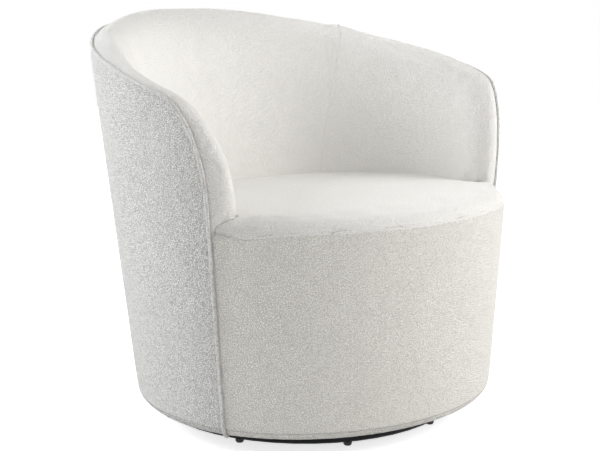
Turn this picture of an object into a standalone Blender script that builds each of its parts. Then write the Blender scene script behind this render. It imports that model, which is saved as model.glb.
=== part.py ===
"""Upholstered swivel accent chair: a barrel of frame, foam and fabric on a ball-bearing swivel.

Metres, +Z up. The origin is on the floor, under the middle of the chair. The chair faces -Y.
The pieces are shaped about the swivel's axis and hang on empties that stand on it.
Round the barrel, an angle of 0 is the middle of the front and 180 the middle of the back.
"""
import math

import bmesh
import bpy
from mathutils import Vector

# Barrel, measured at the hem: the plan is two half ellipses that meet at its widest line
HEM_HEIGHT = 0.035
HALF_WIDTH = 0.350
FRONT_REACH = 0.350
BACK_REACH = 0.307
WIDEST_AHEAD = 0.046

# How far each side leans out for each metre of height
SIDE_LEAN = 0.091
FRONT_LEAN = 0.036
BACK_LEAN = 0.169

# Top edge: a sloping plane over the seat's seam, which flattens by the dip towards the middle of the
# back and drops round a corner to the upright seam at each arm front
ARM_RISE = 0.251
TOP_SLOPE = 0.272
BACK_DIP = 0.017
SEAM_ANGLE = 67.5
CORNER_RUN = 0.0725
CORNER_DROP = 0.151

# Padding of the arms and the back, its top over the seat's seam, and the roll over it
ARM_THICKNESS_AT_SEAT = 0.070
ARM_THICKNESS_AT_TOP = 0.044
BACK_THICKNESS_AT_SEAT = 0.165
BACK_THICKNESS_AT_TOP = 0.080
BACK_TOP_RISE = 0.347
ROLL_RISE = 0.007
NOSE_RISE = 0.030
ROLL_CREST = 0.40
ROLL_DEPTH = 0.050

# Seat: its seam, how far that drops at the arm fronts, how far the seat rises over it and stands over its
# frame, its crown, how far it falls for each metre back, and its rounded edge
SEAT_SEAM_HEIGHT = 0.398
SEAT_CORNER_DROP = 0.015
SEAT_RISE = 0.023
SEAT_DEPTH = 0.090
SEAT_CROWN = 0.005
SEAT_FALL = 0.0233
SEAT_EDGE_WIDTH = 0.026
SEAT_EDGE_START = 17.0
CROWN_RINGS = 4
EDGE_RINGS = 5
CORNER_FALL = 6
SIDE_RISE_ANGLE = 25.0
BACK_SEAM_ANGLE = 130.0
BACK_SEAM_FOOT_ANGLE = 150.0

# Covers and liners
COVER = 0.003
HEM_RADIUS = 0.020
HEM_STEPS = 4
HEM_FLAP = 0.014
LINER = 0.003
WELT_RADIUS = 0.0028
DUST_COVER = 0.0008
DUST_MARGIN = 0.006

# Frame
BOARD = 0.024
FRAME_PLY = 0.018
FRAME_DEPTH = 0.024
RAIL_HEIGHT = 0.045
RAIL_DROP = 0.030
FRAME_FRONT_ANGLE = 74.0
UPRIGHT_WIDTH = 0.040
FRONT_POST_ANGLE = 33.0
SIDE_POST_ANGLE = 112.0
BACK_POST_ANGLE = 148.0
SEAT_FRAME_FRONT = 0.080
STRAP_WIDTH = 0.050
STRAP = 0.002
STRAP_LANDING = 0.022
STRAP_MARGIN = 0.006

# Swivel: its plates reach past the ball race to a circle of screws and a margin beyond them
PLATE = 0.0025
PLATE_EYE = 0.012
RACE_RADIUS = 0.070
RACE_WIDTH = 0.014
RACE_HEIGHT = 0.0042
BALL_RADIUS = 0.004
BALL_COUNT = 8
CAGE = 0.0014
CAGE_WIDTH = 0.016
RACE_TO_SCREWS = 0.025
PLATE_MARGIN = 0.015
SCREW_RADIUS = 0.003
SCREW_HEAD_RADIUS = 0.006
SCREW_HEAD = 0.0025
SCREW_BITE = 0.012
PIVOT_RADIUS = 0.010

# Base
RING_RADIUS = 0.290
RING_WIDTH = 0.020
RING_HEIGHT = 0.020
RING_EDGE = 0.003
GLIDE_HEIGHT = 0.0075
GLIDE_RADIUS = 0.0078
GLIDE_STEM_RADIUS = 0.003
GLIDE_STEM = 0.012
GLIDE_COUNT = 9
FIRST_GLIDE_ANGLE = 14.5
CROSS = 0.005
CROSS_ARM_WIDTH = 0.040
HUB_MARGIN = 0.004

# Clearances: between seated pieces, moving pieces, the barrel's layers, the seat and the arms,
# and screws and their holes
GAP = 0.0003
RUNNING_GAP = 0.0003
LAYER_GAP = 0.0008
SEAT_GAP = 0.0015
DRILL_GAP = 0.0004

# Heights and radii that follow from the sizes above
BOARD_UNDERSIDE = HEM_HEIGHT + COVER + LAYER_GAP
BOARD_TOP = BOARD_UNDERSIDE + BOARD
UPPER_PLATE_TOP = BOARD_UNDERSIDE - GAP
UPPER_RACE_FACE = UPPER_PLATE_TOP - PLATE - RACE_HEIGHT
BALL_HEIGHT = UPPER_RACE_FACE - CAGE
LOWER_RACE_FACE = BALL_HEIGHT - CAGE
LOWER_PLATE_TOP = LOWER_RACE_FACE - RACE_HEIGHT
CROSS_TOP = LOWER_PLATE_TOP - PLATE - GAP
PLATE_SCREW_RADIUS = RACE_RADIUS + RACE_TO_SCREWS
PLATE_RADIUS = PLATE_SCREW_RADIUS + PLATE_MARGIN
RING_TOP = GLIDE_HEIGHT + RING_HEIGHT
UNDER_COVER = COVER + LAYER_GAP
LINER_BACK = UNDER_COVER + LINER
FRAME_INSET = LINER_BACK + LAYER_GAP
FRAME_BACK_INSET = FRAME_INSET + FRAME_DEPTH
PADDING_INSET = FRAME_BACK_INSET + LAYER_GAP
ARM_HEIGHT = SEAT_SEAM_HEIGHT + ARM_RISE
BACK_TOP_HEIGHT = SEAT_SEAM_HEIGHT + BACK_TOP_RISE
SEAT_CORNER_HEIGHT = SEAT_SEAM_HEIGHT - SEAT_CORNER_DROP
SEAT_CROWN_HEIGHT = SEAT_SEAM_HEIGHT + SEAT_RISE
SEAT_FRAME_TOP = SEAT_SEAM_HEIGHT - SEAT_DEPTH
PADDING_FOOT = SEAT_FRAME_TOP + GAP
CUSHION_FOOT = SEAT_FRAME_TOP + 2 * (GAP + STRAP) + GAP
NOSE_FOOT = SEAT_CORNER_HEIGHT + GAP

# Smoothness
FRONT_STEPS = 8
CORNER_STEPS = 5
SIDE_STEPS = 6
BACK_STEPS = 7
ROLL_STEPS = 3
WALL_ROWS = 4
ROUND_STEPS = 48
SWIVEL_STEPS = 32
RACE_SAG = RACE_RADIUS * (1 - math.cos(math.pi / SWIVEL_STEPS))
FRONT, BACK = 0.0, 180.0

# What the names of the base's pieces and of the turning balls begin with
BASE_NAMES = ("base_", "glide_", "swivel_lower_plate", "swivel_pin", "lower_", "cross_drill")
BALL_NAMES = ("ball_",)


def clear_scene():
    """Remove what the new file holds."""
    for thing in list(bpy.data.objects):
        bpy.data.objects.remove(thing, do_unlink=True)


def make_collection(name):
    """A collection linked to the scene."""
    group = bpy.data.collections.new(name)
    bpy.context.scene.collection.children.link(group)
    return group


def make_material(name, colour, roughness, metallic=0.0):
    """A Principled material with one colour."""
    material = bpy.data.materials.new(name)
    material.use_nodes = True
    shader = material.node_tree.nodes["Principled BSDF"]
    shader.inputs["Base Color"].default_value = (*colour, 1.0)
    shader.inputs["Roughness"].default_value = roughness
    shader.inputs["Metallic"].default_value = metallic
    material.diffuse_color = (*colour, 1.0)
    return material


clear_scene()
CHAIR = make_collection("swivel_accent_chair")
TOOLS = make_collection("cutters")
TOOLS.hide_render = True

FABRIC = make_material("boucle_fabric", (0.86, 0.85, 0.82), 0.95)
FOAM = make_material("foam", (0.88, 0.84, 0.66), 0.9)
PLYWOOD = make_material("plywood", (0.66, 0.50, 0.33), 0.7)
LINER_BOARD = make_material("hardboard", (0.42, 0.30, 0.20), 0.8)
WEBBING = make_material("webbing", (0.25, 0.22, 0.20), 0.9)
DUST_CLOTH = make_material("dust_cloth", (0.03, 0.03, 0.03), 0.95)
BLACK_PAINT = make_material("black_painted_steel", (0.02, 0.02, 0.022), 0.4)
ZINC = make_material("zinc_plated_steel", (0.62, 0.63, 0.65), 0.35, 1.0)
BALL_STEEL = make_material("ball_steel", (0.75, 0.75, 0.77), 0.15, 1.0)
BLACK_PLASTIC = make_material("black_plastic", (0.02, 0.02, 0.02), 0.5)
CAGE_PLASTIC = make_material("cage_plastic", (0.80, 0.78, 0.72), 0.5)


# Making, cutting and smoothing solids

def link(name, mesh, material, group=None):
    """A named object with its material, in the chair's collection or in another."""
    thing = bpy.data.objects.new(name, mesh)
    (group or CHAIR).objects.link(thing)
    if material:
        mesh.materials.append(material)
    return thing


def smooth(thing, angle=40.0):
    """Smooth shading with sharp edges kept."""
    thing.data.shade_smooth()
    thing.data.set_sharp_from_angle(angle=math.radians(angle))
    return thing


def split_quads(bm):
    """Split each four-sided face along its shorter diagonal, so that neighbouring skins stay parallel."""
    quads = [face for face in bm.faces if len(face.verts) == 4]
    bmesh.ops.triangulate(bm, faces=quads, quad_method="SHORT_EDGE")


def mesh_from(name, build):
    """A mesh that a function fills, with its doubled points merged and its faces turned out."""
    mesh = bpy.data.meshes.new(name)
    bm = bmesh.new()
    build(bm)
    bmesh.ops.remove_doubles(bm, verts=bm.verts, dist=0.00001)
    bmesh.ops.recalc_face_normals(bm, faces=bm.faces)
    split_quads(bm)
    bm.to_mesh(mesh)
    bm.free()
    return mesh


def loft_mesh(name, loops, ring=False):
    """A closed skin over equal closed loops of points, capped at both ends unless it is a ring."""
    def build(bm):
        rows = [[bm.verts.new(point) for point in loop] for loop in loops]
        count = len(loops[0])
        pairs = list(zip(rows, rows[1:]))
        if ring:
            pairs.append((rows[-1], rows[0]))
        for one, two in pairs:
            for k in range(count):
                m = (k + 1) % count
                bm.faces.new((one[k], one[m], two[m], two[k]))
        if not ring:
            bm.faces.new(rows[0])
            bm.faces.new(list(reversed(rows[-1])))
    return mesh_from(name, build)


def sheet_mesh(name, rows):
    """An open sheet over equal rows of points."""
    mesh = bpy.data.meshes.new(name)
    bm = bmesh.new()
    grid = [[bm.verts.new(point) for point in row] for row in rows]
    for one, two in zip(grid, grid[1:]):
        for k in range(len(one) - 1):
            bm.faces.new((one[k], one[k + 1], two[k + 1], two[k]))
    bmesh.ops.remove_doubles(bm, verts=bm.verts, dist=0.00001)
    split_quads(bm)
    bm.to_mesh(mesh)
    bm.free()
    return mesh


def add_cloth(name, rows, outward):
    """A cover of the cover's thickness behind an open sheet whose faces look outward."""
    mesh = sheet_mesh(name, rows)
    if sum(face.area * face.normal.dot(outward(face.center)) for face in mesh.polygons) < 0:
        mesh.flip_normals()
    thing = link(name, mesh, FABRIC)
    wall = thing.modifiers.new("cloth thickness", "SOLIDIFY")
    wall.thickness = COVER
    wall.offset = -1.0
    wall.use_even_offset = True
    return smooth(thing)


def cut(thing, *cutters):
    """Cut other solids out of this one."""
    for cutter in cutters:
        cutter.hide_render = True
        cutter.display_type = "WIRE"
        hole = thing.modifiers.new("cut by " + cutter.name, "BOOLEAN")
        hole.operation = "DIFFERENCE"
        hole.solver = "EXACT"
        hole.object = cutter


def add_turned(name, profile, material, steps=ROUND_STEPS, ring=True, group=None):
    """A solid turned about the Z axis from (radius, height) points that run down its outer side."""
    def build(bm):
        points = [bm.verts.new((r, 0.0, z)) for r, z in profile]
        for one, two in zip(points, points[1:]):
            bm.edges.new((one, two))
        if ring:
            bm.edges.new((points[-1], points[0]))
    mesh = bpy.data.meshes.new(name)
    bm = bmesh.new()
    build(bm)
    bm.to_mesh(mesh)
    bm.free()
    thing = link(name, mesh, material, group)
    turn = thing.modifiers.new("turn", "SCREW")
    turn.steps = steps
    turn.render_steps = steps
    turn.use_merge_vertices = True
    turn.merge_threshold = 0.00001
    turn.use_smooth_shade = True
    return thing


def add_rod(name, radius, low, high, place, sides=12):
    """A round cutter from one height to another, whose flats stand clear of the radius."""
    bpy.ops.mesh.primitive_cylinder_add(
        vertices=sides, radius=radius / math.cos(math.pi / sides), depth=high - low,
        location=(place[0], place[1], (low + high) / 2), rotation=(0.0, 0.0, math.pi / sides))
    rod = bpy.context.active_object
    rod.name = name
    for group in list(rod.users_collection):
        group.objects.unlink(rod)
    TOOLS.objects.link(rod)
    return rod


def add_flat(name, outlines, low, high, material):
    """A flat piece with one or more outlines, the later ones holes in the first."""
    curve = bpy.data.curves.new(name, "CURVE")
    curve.dimensions = "2D"
    curve.fill_mode = "BOTH"
    curve.extrude = (high - low) / 2
    for outline in outlines:
        spline = curve.splines.new("POLY")
        spline.points.add(len(outline) - 1)
        spline.use_cyclic_u = True
        for point, (x, y) in zip(spline.points, outline):
            point.co = (x, y, 0.0, 1.0)
    shape = bpy.data.objects.new(name + "_outline", curve)
    CHAIR.objects.link(shape)
    shape.location.z = (low + high) / 2
    bpy.context.view_layer.update()
    mesh = bpy.data.meshes.new_from_object(shape.evaluated_get(bpy.context.evaluated_depsgraph_get()))
    bm = bmesh.new()
    bm.from_mesh(mesh)
    bmesh.ops.remove_doubles(bm, verts=bm.verts, dist=0.00001)
    bm.to_mesh(mesh)
    bm.free()
    mesh.materials.clear()
    thing = link(name, mesh, material)
    thing.matrix_world = shape.matrix_world
    bpy.data.objects.remove(shape, do_unlink=True)
    return thing


def around(count, radius, first=0.0):
    """Places spread evenly on a circle."""
    for k in range(count):
        angle = math.radians(first + 360.0 * k / count)
        yield radius * math.sin(angle), -radius * math.cos(angle)


def between(one, two, share):
    """The value that lies a share of the way from one to two."""
    return one + (two - one) * share


# The barrel's outside, inside and top edge

def outer_axes(z):
    """Half width, front and back half depths of the outside at a height, from the widest line."""
    rise = z - HEM_HEIGHT
    return (HALF_WIDTH + SIDE_LEAN * rise,
            FRONT_REACH - WIDEST_AHEAD + FRONT_LEAN * rise,
            BACK_REACH + WIDEST_AHEAD + BACK_LEAN * rise)


def inner_axes(z):
    """The same for the face that the sitter leans on."""
    width, front, back = outer_axes(z)
    share = (z - SEAT_CROWN_HEIGHT) / (BACK_TOP_HEIGHT - SEAT_CROWN_HEIGHT)
    arm_thickness = between(ARM_THICKNESS_AT_SEAT, ARM_THICKNESS_AT_TOP, share)
    back_thickness = between(BACK_THICKNESS_AT_SEAT, BACK_THICKNESS_AT_TOP, share)
    return width - arm_thickness, front - arm_thickness, back - back_thickness


def plan_point(angle, axes, z, inset):
    """A point of the plan at a height, moved inward along its normal by the inset."""
    width, front, back = axes
    sine, cosine = math.sin(math.radians(angle)), math.cos(math.radians(angle))
    depth = front if cosine > 0 else back
    normal = Vector((depth * sine, -width * cosine, 0.0)).normalized()
    point = Vector((width * sine, -WIDEST_AHEAD - depth * cosine, z))
    return point - normal * inset


def outer(angle, z, inset=0.0):
    """A point of the barrel's outside, or under it by the inset."""
    return plan_point(angle, outer_axes(z), z, inset)


def hem_point(angle, turn, stand_off=0.0):
    """A point of the rounded hem, from its flat underside at a turn of 0 to its side at 90."""
    turn = math.radians(turn)
    radius = HEM_RADIUS + stand_off
    height = HEM_HEIGHT + HEM_RADIUS - radius * math.cos(turn)
    return outer(angle, height, HEM_RADIUS - radius * math.sin(turn))


def wall(angle, z, share, inset=0.0):
    """A point in the padding: share 0 is the outside and 1 the inside, each under its skin by the inset."""
    inside = plan_point(angle, inner_axes(z), z, -inset)
    return outer(angle, z, inset).lerp(inside, share)


def arc_per_degree(angle, z, share=0.0):
    """Length along the plan for each degree of angle."""
    step = 0.5
    return (wall(angle + step, z, share) - wall(angle - step, z, share)).length / (2 * step)


def top_plane(angle):
    """Height of the sloping top edge, a little under its plane towards the middle of the back."""
    y = outer(angle, ARM_HEIGHT).y
    return ARM_HEIGHT + TOP_SLOPE * y - BACK_DIP * max(0.0, y / outer(BACK, ARM_HEIGHT).y) ** 6


CORNER_ARC = arc_per_degree(SEAM_ANGLE, ARM_HEIGHT - CORNER_DROP)
CORNER_END = SEAM_ANGLE + CORNER_RUN / CORNER_ARC


def half_stations():
    """Angles where the barrel's sections stand, from the middle of the front to that of the back."""
    front = [between(FRONT, SEAM_ANGLE, k / FRONT_STEPS) for k in range(FRONT_STEPS)]
    corner = [seam_at(1 + k / CORNER_STEPS)[0] for k in range(CORNER_STEPS)]
    side = [between(CORNER_END, BACK_SEAM_ANGLE, k / SIDE_STEPS) for k in range(SIDE_STEPS)]
    back = [between(BACK_SEAM_ANGLE, BACK, k / BACK_STEPS) for k in range(BACK_STEPS + 1)]
    return front + corner + side + back


def seam_height(angle):
    """Height of the top seam, with its fall at the arm front."""
    share = max(0.0, 1 - (angle - SEAM_ANGLE) / (CORNER_END - SEAM_ANGLE))
    return top_plane(angle) - CORNER_DROP * (1 - math.sqrt(max(0.0, 1 - share * share)))


def seam_at(u):
    """Angle and height of the seam: u 0 to 1 up the arm front, to 2 round the corner, to 3 at the back."""
    if u <= 1:
        return SEAM_ANGLE, between(PADDING_FOOT, seam_height(SEAM_ANGLE), u)
    if u <= 2:
        turn = math.radians(90 * (u - 1))
        angle = between(SEAM_ANGLE, CORNER_END, 1 - math.cos(turn))
        return angle, top_plane(angle) - CORNER_DROP * (1 - math.sin(turn))
    angle = between(CORNER_END, BACK, u - 2)
    return angle, top_plane(angle)


def seam_outward(u):
    """The way out of the shell's edge at the seam, as a forward and an upward share."""
    if u <= 1:
        return 1.0, 0.0
    step = 0.002
    (angle_0, z_0), (angle_1, z_1) = seam_at(u - step), seam_at(min(u + step, 3))
    along = (angle_1 - angle_0) * arc_per_degree(angle_0, z_0)
    length = math.hypot(along, z_1 - z_0)
    return (z_1 - z_0) / length, along / length


def roll_rise(u):
    """How far the roll stands proud of the seam: most at the arm front."""
    if u <= 1:
        return NOSE_RISE
    if u >= 2:
        return ROLL_RISE
    return between(ROLL_RISE, NOSE_RISE, math.cos(math.radians(90 * (u - 1))) ** 2)


def roll_plan(u, share, stand, inset):
    """Angle and height of a point of the roll that stands this far out from the seam."""
    angle, z = seam_at(u)
    forward, up = seam_outward(u)
    reach = stand - inset
    return angle - reach * forward / arc_per_degree(angle, z, share), z + reach * up


def inner_foot_angle(u, inset):
    """Angle at the foot of the inside, for the section that starts at the seam's point u."""
    first = roll_plan(0, 1.0, NOSE_RISE - ROLL_DEPTH, inset)[0]
    corner = roll_plan(2, 1.0, ROLL_RISE - ROLL_DEPTH, inset)[0]
    back_seam = along_seam(BACK_SEAM_ANGLE)
    if u <= 2:
        return between(first, corner, u / 2)
    if u <= back_seam:
        return between(corner, BACK_SEAM_FOOT_ANGLE, (u - 2) / (back_seam - 2))
    return between(BACK_SEAM_FOOT_ANGLE, BACK, (u - back_seam) / (3 - back_seam))


def section(u, inset):
    """Points of the padding's face from the seam, over the roll and down the inside to the foot."""
    rise = roll_rise(u)
    points = []
    for k in range(ROLL_STEPS + 1):
        turn = math.radians(90 * k / ROLL_STEPS)
        share, stand = ROLL_CREST * (1 - math.cos(turn)), rise * math.sin(turn)
        points.append(wall(*roll_plan(u, share, stand, inset), share, inset))
    for k in range(1, ROLL_STEPS + 2):
        turn = math.radians(90 * k / (ROLL_STEPS + 1))
        share = between(ROLL_CREST, 1.0, math.sin(turn))
        stand = rise - ROLL_DEPTH * (1 - math.cos(turn))
        angle, z = roll_plan(u, share, stand, inset)
        points.append(wall(angle, z, share, inset))
    foot_angle = inner_foot_angle(u, inset)
    for k in range(1, WALL_ROWS + 1):
        part = k / WALL_ROWS
        points.append(wall(between(angle, foot_angle, part), between(z, PADDING_FOOT, part), 1.0, inset))
    return points


NOSE_START = (NOSE_FOOT - PADDING_FOOT) / (seam_height(SEAM_ANGLE) - PADDING_FOOT)
HALF_ANGLES = half_stations()
WHOLE_ANGLES = HALF_ANGLES + [360 - angle for angle in reversed(HALF_ANGLES[1:-1])]
TURN_ANGLES = [-angle for angle in reversed(HALF_ANGLES[1:])] + WHOLE_ANGLES


def along_seam(angle):
    """The seam's point u over an angle behind the corner."""
    return 2 + (angle - CORNER_END) / (BACK - CORNER_END)


def stations(first=0.0, last=3.0):
    """Places along one half of the seam where a section stands."""
    front = [0.0, NOSE_START, (1 + NOSE_START) / 2]
    corner = [1 + k / CORNER_STEPS for k in range(CORNER_STEPS)]
    top = [along_seam(angle) for angle in HALF_ANGLES if angle >= CORNER_END]
    margin = 0.001
    inside = [u for u in front + corner + top if first + margin < u < last - margin]
    return [first] + inside + [last]


def angles_between(first, last):
    """Two angles and those of the sections between them, for a piece that follows the barrel."""
    return [first] + [angle for angle in TURN_ANGLES if first < angle < last] + [last]


def from_front(angle):
    """Size of an angle from the middle of the front, on either side."""
    return min(abs(angle), 360 - abs(angle))


def on_facet(angle, height_of, inset):
    """A point on the straight line between the two sections that an angle lies between."""
    two = next((place for place in TURN_ANGLES if place > angle), TURN_ANGLES[-1])
    one = max(place for place in TURN_ANGLES if place < two)
    ends = [outer(place, height_of(from_front(place)), inset) for place in (one, two)]
    return ends[0].lerp(ends[1], (angle - one) / (two - one))


def mirrored(points):
    """The same points on the other side of the chair."""
    return [Vector((-point.x, point.y, point.z)) for point in points]


def both_sides(sections):
    """Sections from one arm front round the back to the other, from those of the +X half."""
    return sections + [mirrored(points) for points in reversed(sections[:-1])]


def padding_loops(inset):
    """Closed sections of the whole padded wall, outside included."""
    loops = []
    for u in stations():
        angle, z = seam_at(u)
        foot_angle = angle if u >= 2 else between(SEAM_ANGLE, CORNER_END, u / 2)
        rises = [k / WALL_ROWS for k in range(WALL_ROWS)]
        outside = [outer(between(foot_angle, angle, rise), between(PADDING_FOOT, z, rise), inset)
                   for rise in rises]
        loops.append(outside + section(u, inset))
    return both_sides(loops)


# Base: ring, cross and glides

def add_base():
    """The ring that stands on the floor through its glides, and the cross welded inside it."""
    inside = RING_RADIUS - RING_WIDTH
    edge = RING_EDGE
    low, high = GLIDE_HEIGHT, RING_TOP
    profile = [(RING_RADIUS - edge, high), (RING_RADIUS, high - edge), (RING_RADIUS, low + edge),
               (RING_RADIUS - edge, low), (inside + edge, low), (inside, low + edge),
               (inside, high - edge), (inside + edge, high)]
    ring = add_turned("base_ring", profile, BLACK_PAINT)
    glide_circle = RING_RADIUS - RING_WIDTH / 2
    places = list(around(GLIDE_COUNT, glide_circle, FIRST_GLIDE_ANGLE))
    for number, place in enumerate(places, 1):
        cut(ring, add_rod(f"glide_hole_{number}", GLIDE_STEM_RADIUS + DRILL_GAP,
                          low - edge, low + GLIDE_STEM + GAP, place, 10))
        foot = [(0.0, GLIDE_HEIGHT + GLIDE_STEM - GAP), (GLIDE_STEM_RADIUS, GLIDE_HEIGHT + GLIDE_STEM - GAP),
                (GLIDE_STEM_RADIUS, GLIDE_HEIGHT - GAP), (GLIDE_RADIUS, GLIDE_HEIGHT - GAP),
                (GLIDE_RADIUS, GLIDE_HEIGHT / 3), (GLIDE_RADIUS * 0.8, 0.0), (0.0, 0.0)]
        glide = add_turned(f"glide_{number}", foot, BLACK_PLASTIC, steps=10, ring=False)
        glide.location = (*place, 0.0)

    outline = []
    half = CROSS_ARM_WIDTH / 2
    hub = PLATE_RADIUS + HUB_MARGIN
    reach = inside * math.cos(math.pi / ROUND_STEPS) - GAP
    tip = math.sqrt(reach ** 2 - half ** 2)
    for arm in range(4):
        lean = math.radians(45 + 90 * arm)
        ahead, across = Vector((math.cos(lean), math.sin(lean))), Vector((-math.sin(lean), math.cos(lean)))
        outline += [ahead * tip - across * half, ahead * tip + across * half]
        start = lean + math.asin(half / hub)
        end = lean + math.pi / 2 - math.asin(half / hub)
        for k in range(5):
            turn = between(start, end, k / 4)
            outline.append(Vector((math.cos(turn), math.sin(turn))) * hub)
    eye = list(around(20, PIVOT_RADIUS + DRILL_GAP))
    cross = add_flat("base_cross", [outline, eye], CROSS_TOP - CROSS, CROSS_TOP, BLACK_PAINT)
    drill(cross, "cross_drill", SCREW_RADIUS + DRILL_GAP, CROSS_TOP - 2 * CROSS, CROSS_TOP + CROSS,
          screw_places(45.0 + 22.5))


def screw_places(first):
    """Where the four screws of a swivel plate stand."""
    return list(around(4, PLATE_SCREW_RADIUS, first))


def drill(thing, name, radius, low, high, places, sides=12):
    """Round holes from one height to another."""
    for number, place in enumerate(places, 1):
        cut(thing, add_rod(f"{name}_{number}", radius, low, high, place, sides))


# Swivel: two plates with races, balls in a cage, pin and screws

def groove(face, depth_sign):
    """Points of a ball groove across a race's face, from its outer lip to its inner one."""
    radius = BALL_RADIUS + RUNNING_GAP + RACE_SAG
    drop = abs(face - BALL_HEIGHT)
    half = math.sqrt(radius ** 2 - drop ** 2)
    reach = math.asin(half / radius)
    points = []
    for k in range(5):
        turn = between(reach, -reach, k / 4)
        points.append((RACE_RADIUS + radius * math.sin(turn),
                       BALL_HEIGHT + depth_sign * radius * math.cos(turn)))
    return points


def add_swivel():
    """The ball-bearing swivel between the base and the chair."""
    out, inn = RACE_RADIUS + RACE_WIDTH / 2, RACE_RADIUS - RACE_WIDTH / 2
    low_top, low_under = LOWER_PLATE_TOP, LOWER_PLATE_TOP - PLATE
    lower = [(PLATE_RADIUS, low_top), (PLATE_RADIUS, low_under), (PLATE_EYE, low_under),
             (PLATE_EYE, low_top), (inn, low_top), (inn, LOWER_RACE_FACE)]
    lower += list(reversed(groove(LOWER_RACE_FACE, -1))) + [(out, LOWER_RACE_FACE), (out, low_top)]
    lower_plate = add_turned("swivel_lower_plate", lower, ZINC, steps=SWIVEL_STEPS)

    up_under, up_top = UPPER_PLATE_TOP - PLATE, UPPER_PLATE_TOP
    upper = [(PLATE_RADIUS, up_top), (PLATE_RADIUS, up_under), (out, up_under), (out, UPPER_RACE_FACE)]
    upper += groove(UPPER_RACE_FACE, 1) + [(inn, UPPER_RACE_FACE), (inn, up_under),
                                          (PLATE_EYE, up_under), (PLATE_EYE, up_top)]
    upper_plate = add_turned("swivel_upper_plate", upper, ZINC, steps=SWIVEL_STEPS)

    half = CAGE_WIDTH / 2
    thick = CAGE - RUNNING_GAP
    rim = [(RACE_RADIUS + half, BALL_HEIGHT + thick), (RACE_RADIUS + half, BALL_HEIGHT - thick),
           (RACE_RADIUS - half, BALL_HEIGHT - thick), (RACE_RADIUS - half, BALL_HEIGHT + thick)]
    cage = add_turned("ball_cage", rim, CAGE_PLASTIC, steps=SWIVEL_STEPS)
    for number, place in enumerate(around(BALL_COUNT, RACE_RADIUS), 1):
        cut(cage, add_rod(f"ball_pocket_{number}", BALL_RADIUS + RUNNING_GAP, BALL_HEIGHT - 2 * CAGE,
                          BALL_HEIGHT + 2 * CAGE, place, 8))
        bpy.ops.mesh.primitive_uv_sphere_add(segments=10, ring_count=6, radius=BALL_RADIUS,
                                             location=(*place, BALL_HEIGHT))
        ball = bpy.context.active_object
        ball.name = f"ball_{number}"
        for group in list(ball.users_collection):
            group.objects.unlink(ball)
        CHAIR.objects.link(ball)
        ball.data.materials.append(BALL_STEEL)
        ball.data.shade_smooth()

    pivot_foot = CROSS_TOP - CROSS
    head = SCREW_HEAD
    neck = PLATE_EYE - DRILL_GAP
    pin = [(0.0, up_top), (neck, up_top), (neck, low_top), (PIVOT_RADIUS, low_top - PLATE),
           (PIVOT_RADIUS, pivot_foot - GAP), (PIVOT_RADIUS + head, pivot_foot - GAP),
           (PIVOT_RADIUS + head, pivot_foot - GAP - head), (0.0, pivot_foot - GAP - head)]
    add_turned("swivel_pin", pin, ZINC, steps=20, ring=False)

    add_screws("lower_screw", screw_places(45.0 + 22.5), low_top + GAP, -1, PLATE + CROSS)
    drill(lower_plate, "lower_plate_drill", SCREW_RADIUS + DRILL_GAP, low_under - PLATE, low_top + PLATE,
          screw_places(45.0 + 22.5))
    add_screws("upper_screw", screw_places(45.0), up_under - GAP, 1, PLATE + SCREW_BITE)
    drill(upper_plate, "upper_plate_drill", SCREW_RADIUS + DRILL_GAP, up_under - PLATE, up_top + PLATE,
          screw_places(45.0))


def add_screws(name, places, seat, way, length):
    """Pan-head screws whose heads sit at a height and whose shanks run up (way 1) or down (way -1)."""
    head = SCREW_HEAD
    profile = [(0.0, -head), (SCREW_HEAD_RADIUS * 0.7, -head), (SCREW_HEAD_RADIUS, -head * 0.5),
               (SCREW_HEAD_RADIUS, 0.0), (SCREW_RADIUS, 0.0), (SCREW_RADIUS, length), (0.0, length)]
    if way > 0:
        profile.reverse()
    for number, place in enumerate(places, 1):
        points = [(r, seat + way * z) for r, z in profile]
        screw = add_turned(f"{name}_{number}", points, ZINC, steps=8, ring=False)
        screw.location = (*place, 0.0)


# Frame: bottom board, uprights, rail, seat frame, webbing and liners

def add_bottom_board():
    """The board that the covers are pulled round, its lower edge rounded over."""
    loops = [[hem_point(angle, 90 * k / HEM_STEPS, -UNDER_COVER) for angle in WHOLE_ANGLES]
             for k in range(HEM_STEPS + 1)]
    loops.append([outer(angle, BOARD_TOP, UNDER_COVER) for angle in WHOLE_ANGLES])
    board = smooth(link("bottom_board", loft_mesh("bottom_board", loops), PLYWOOD))
    drill(board, "board_drill", SCREW_RADIUS + DRILL_GAP, BOARD_UNDERSIDE - BOARD,
          BOARD_UNDERSIDE + SCREW_BITE + GAP, screw_places(45.0))


def rail_top(angle):
    """Height of the top rail, under the seam."""
    return seam_height(angle) - RAIL_DROP


def rail_foot(angle):
    """Height of the top rail's underside."""
    return rail_top(angle) - RAIL_HEIGHT


def frame_foot(angle):
    """Height where the uprights and the liners stand on the bottom board."""
    return BOARD_TOP + GAP


def seat_frame_top(angle):
    """Height of the seat frame's top face."""
    return SEAT_FRAME_TOP


def add_slab(name, ends, heights, insets, material, group=None, rows=1):
    """A piece that follows the barrel between two angles, two heights and two depths under its skin."""
    low, top = heights
    loops = []
    for angle in angles_between(*ends):
        rises = [k / rows for k in range(rows + 1)]
        up = [on_facet(angle, lambda a: between(low(a), top(a), rise), insets[0]) for rise in rises]
        down = [on_facet(angle, lambda a: between(low(a), top(a), rise), insets[1])
                for rise in reversed(rises)]
        loops.append(up + down)
    return link(name, loft_mesh(name, loops), material, group)


def add_upright(name, angle, top, rows):
    """A post on the bottom board that leans with the barrel."""
    half = UPRIGHT_WIDTH / 2 / arc_per_degree(abs(angle), BOARD_TOP)
    add_slab(name, (angle - half, angle + half), (frame_foot, top), (FRAME_INSET, FRAME_BACK_INSET), PLYWOOD,
             rows=rows)


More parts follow.
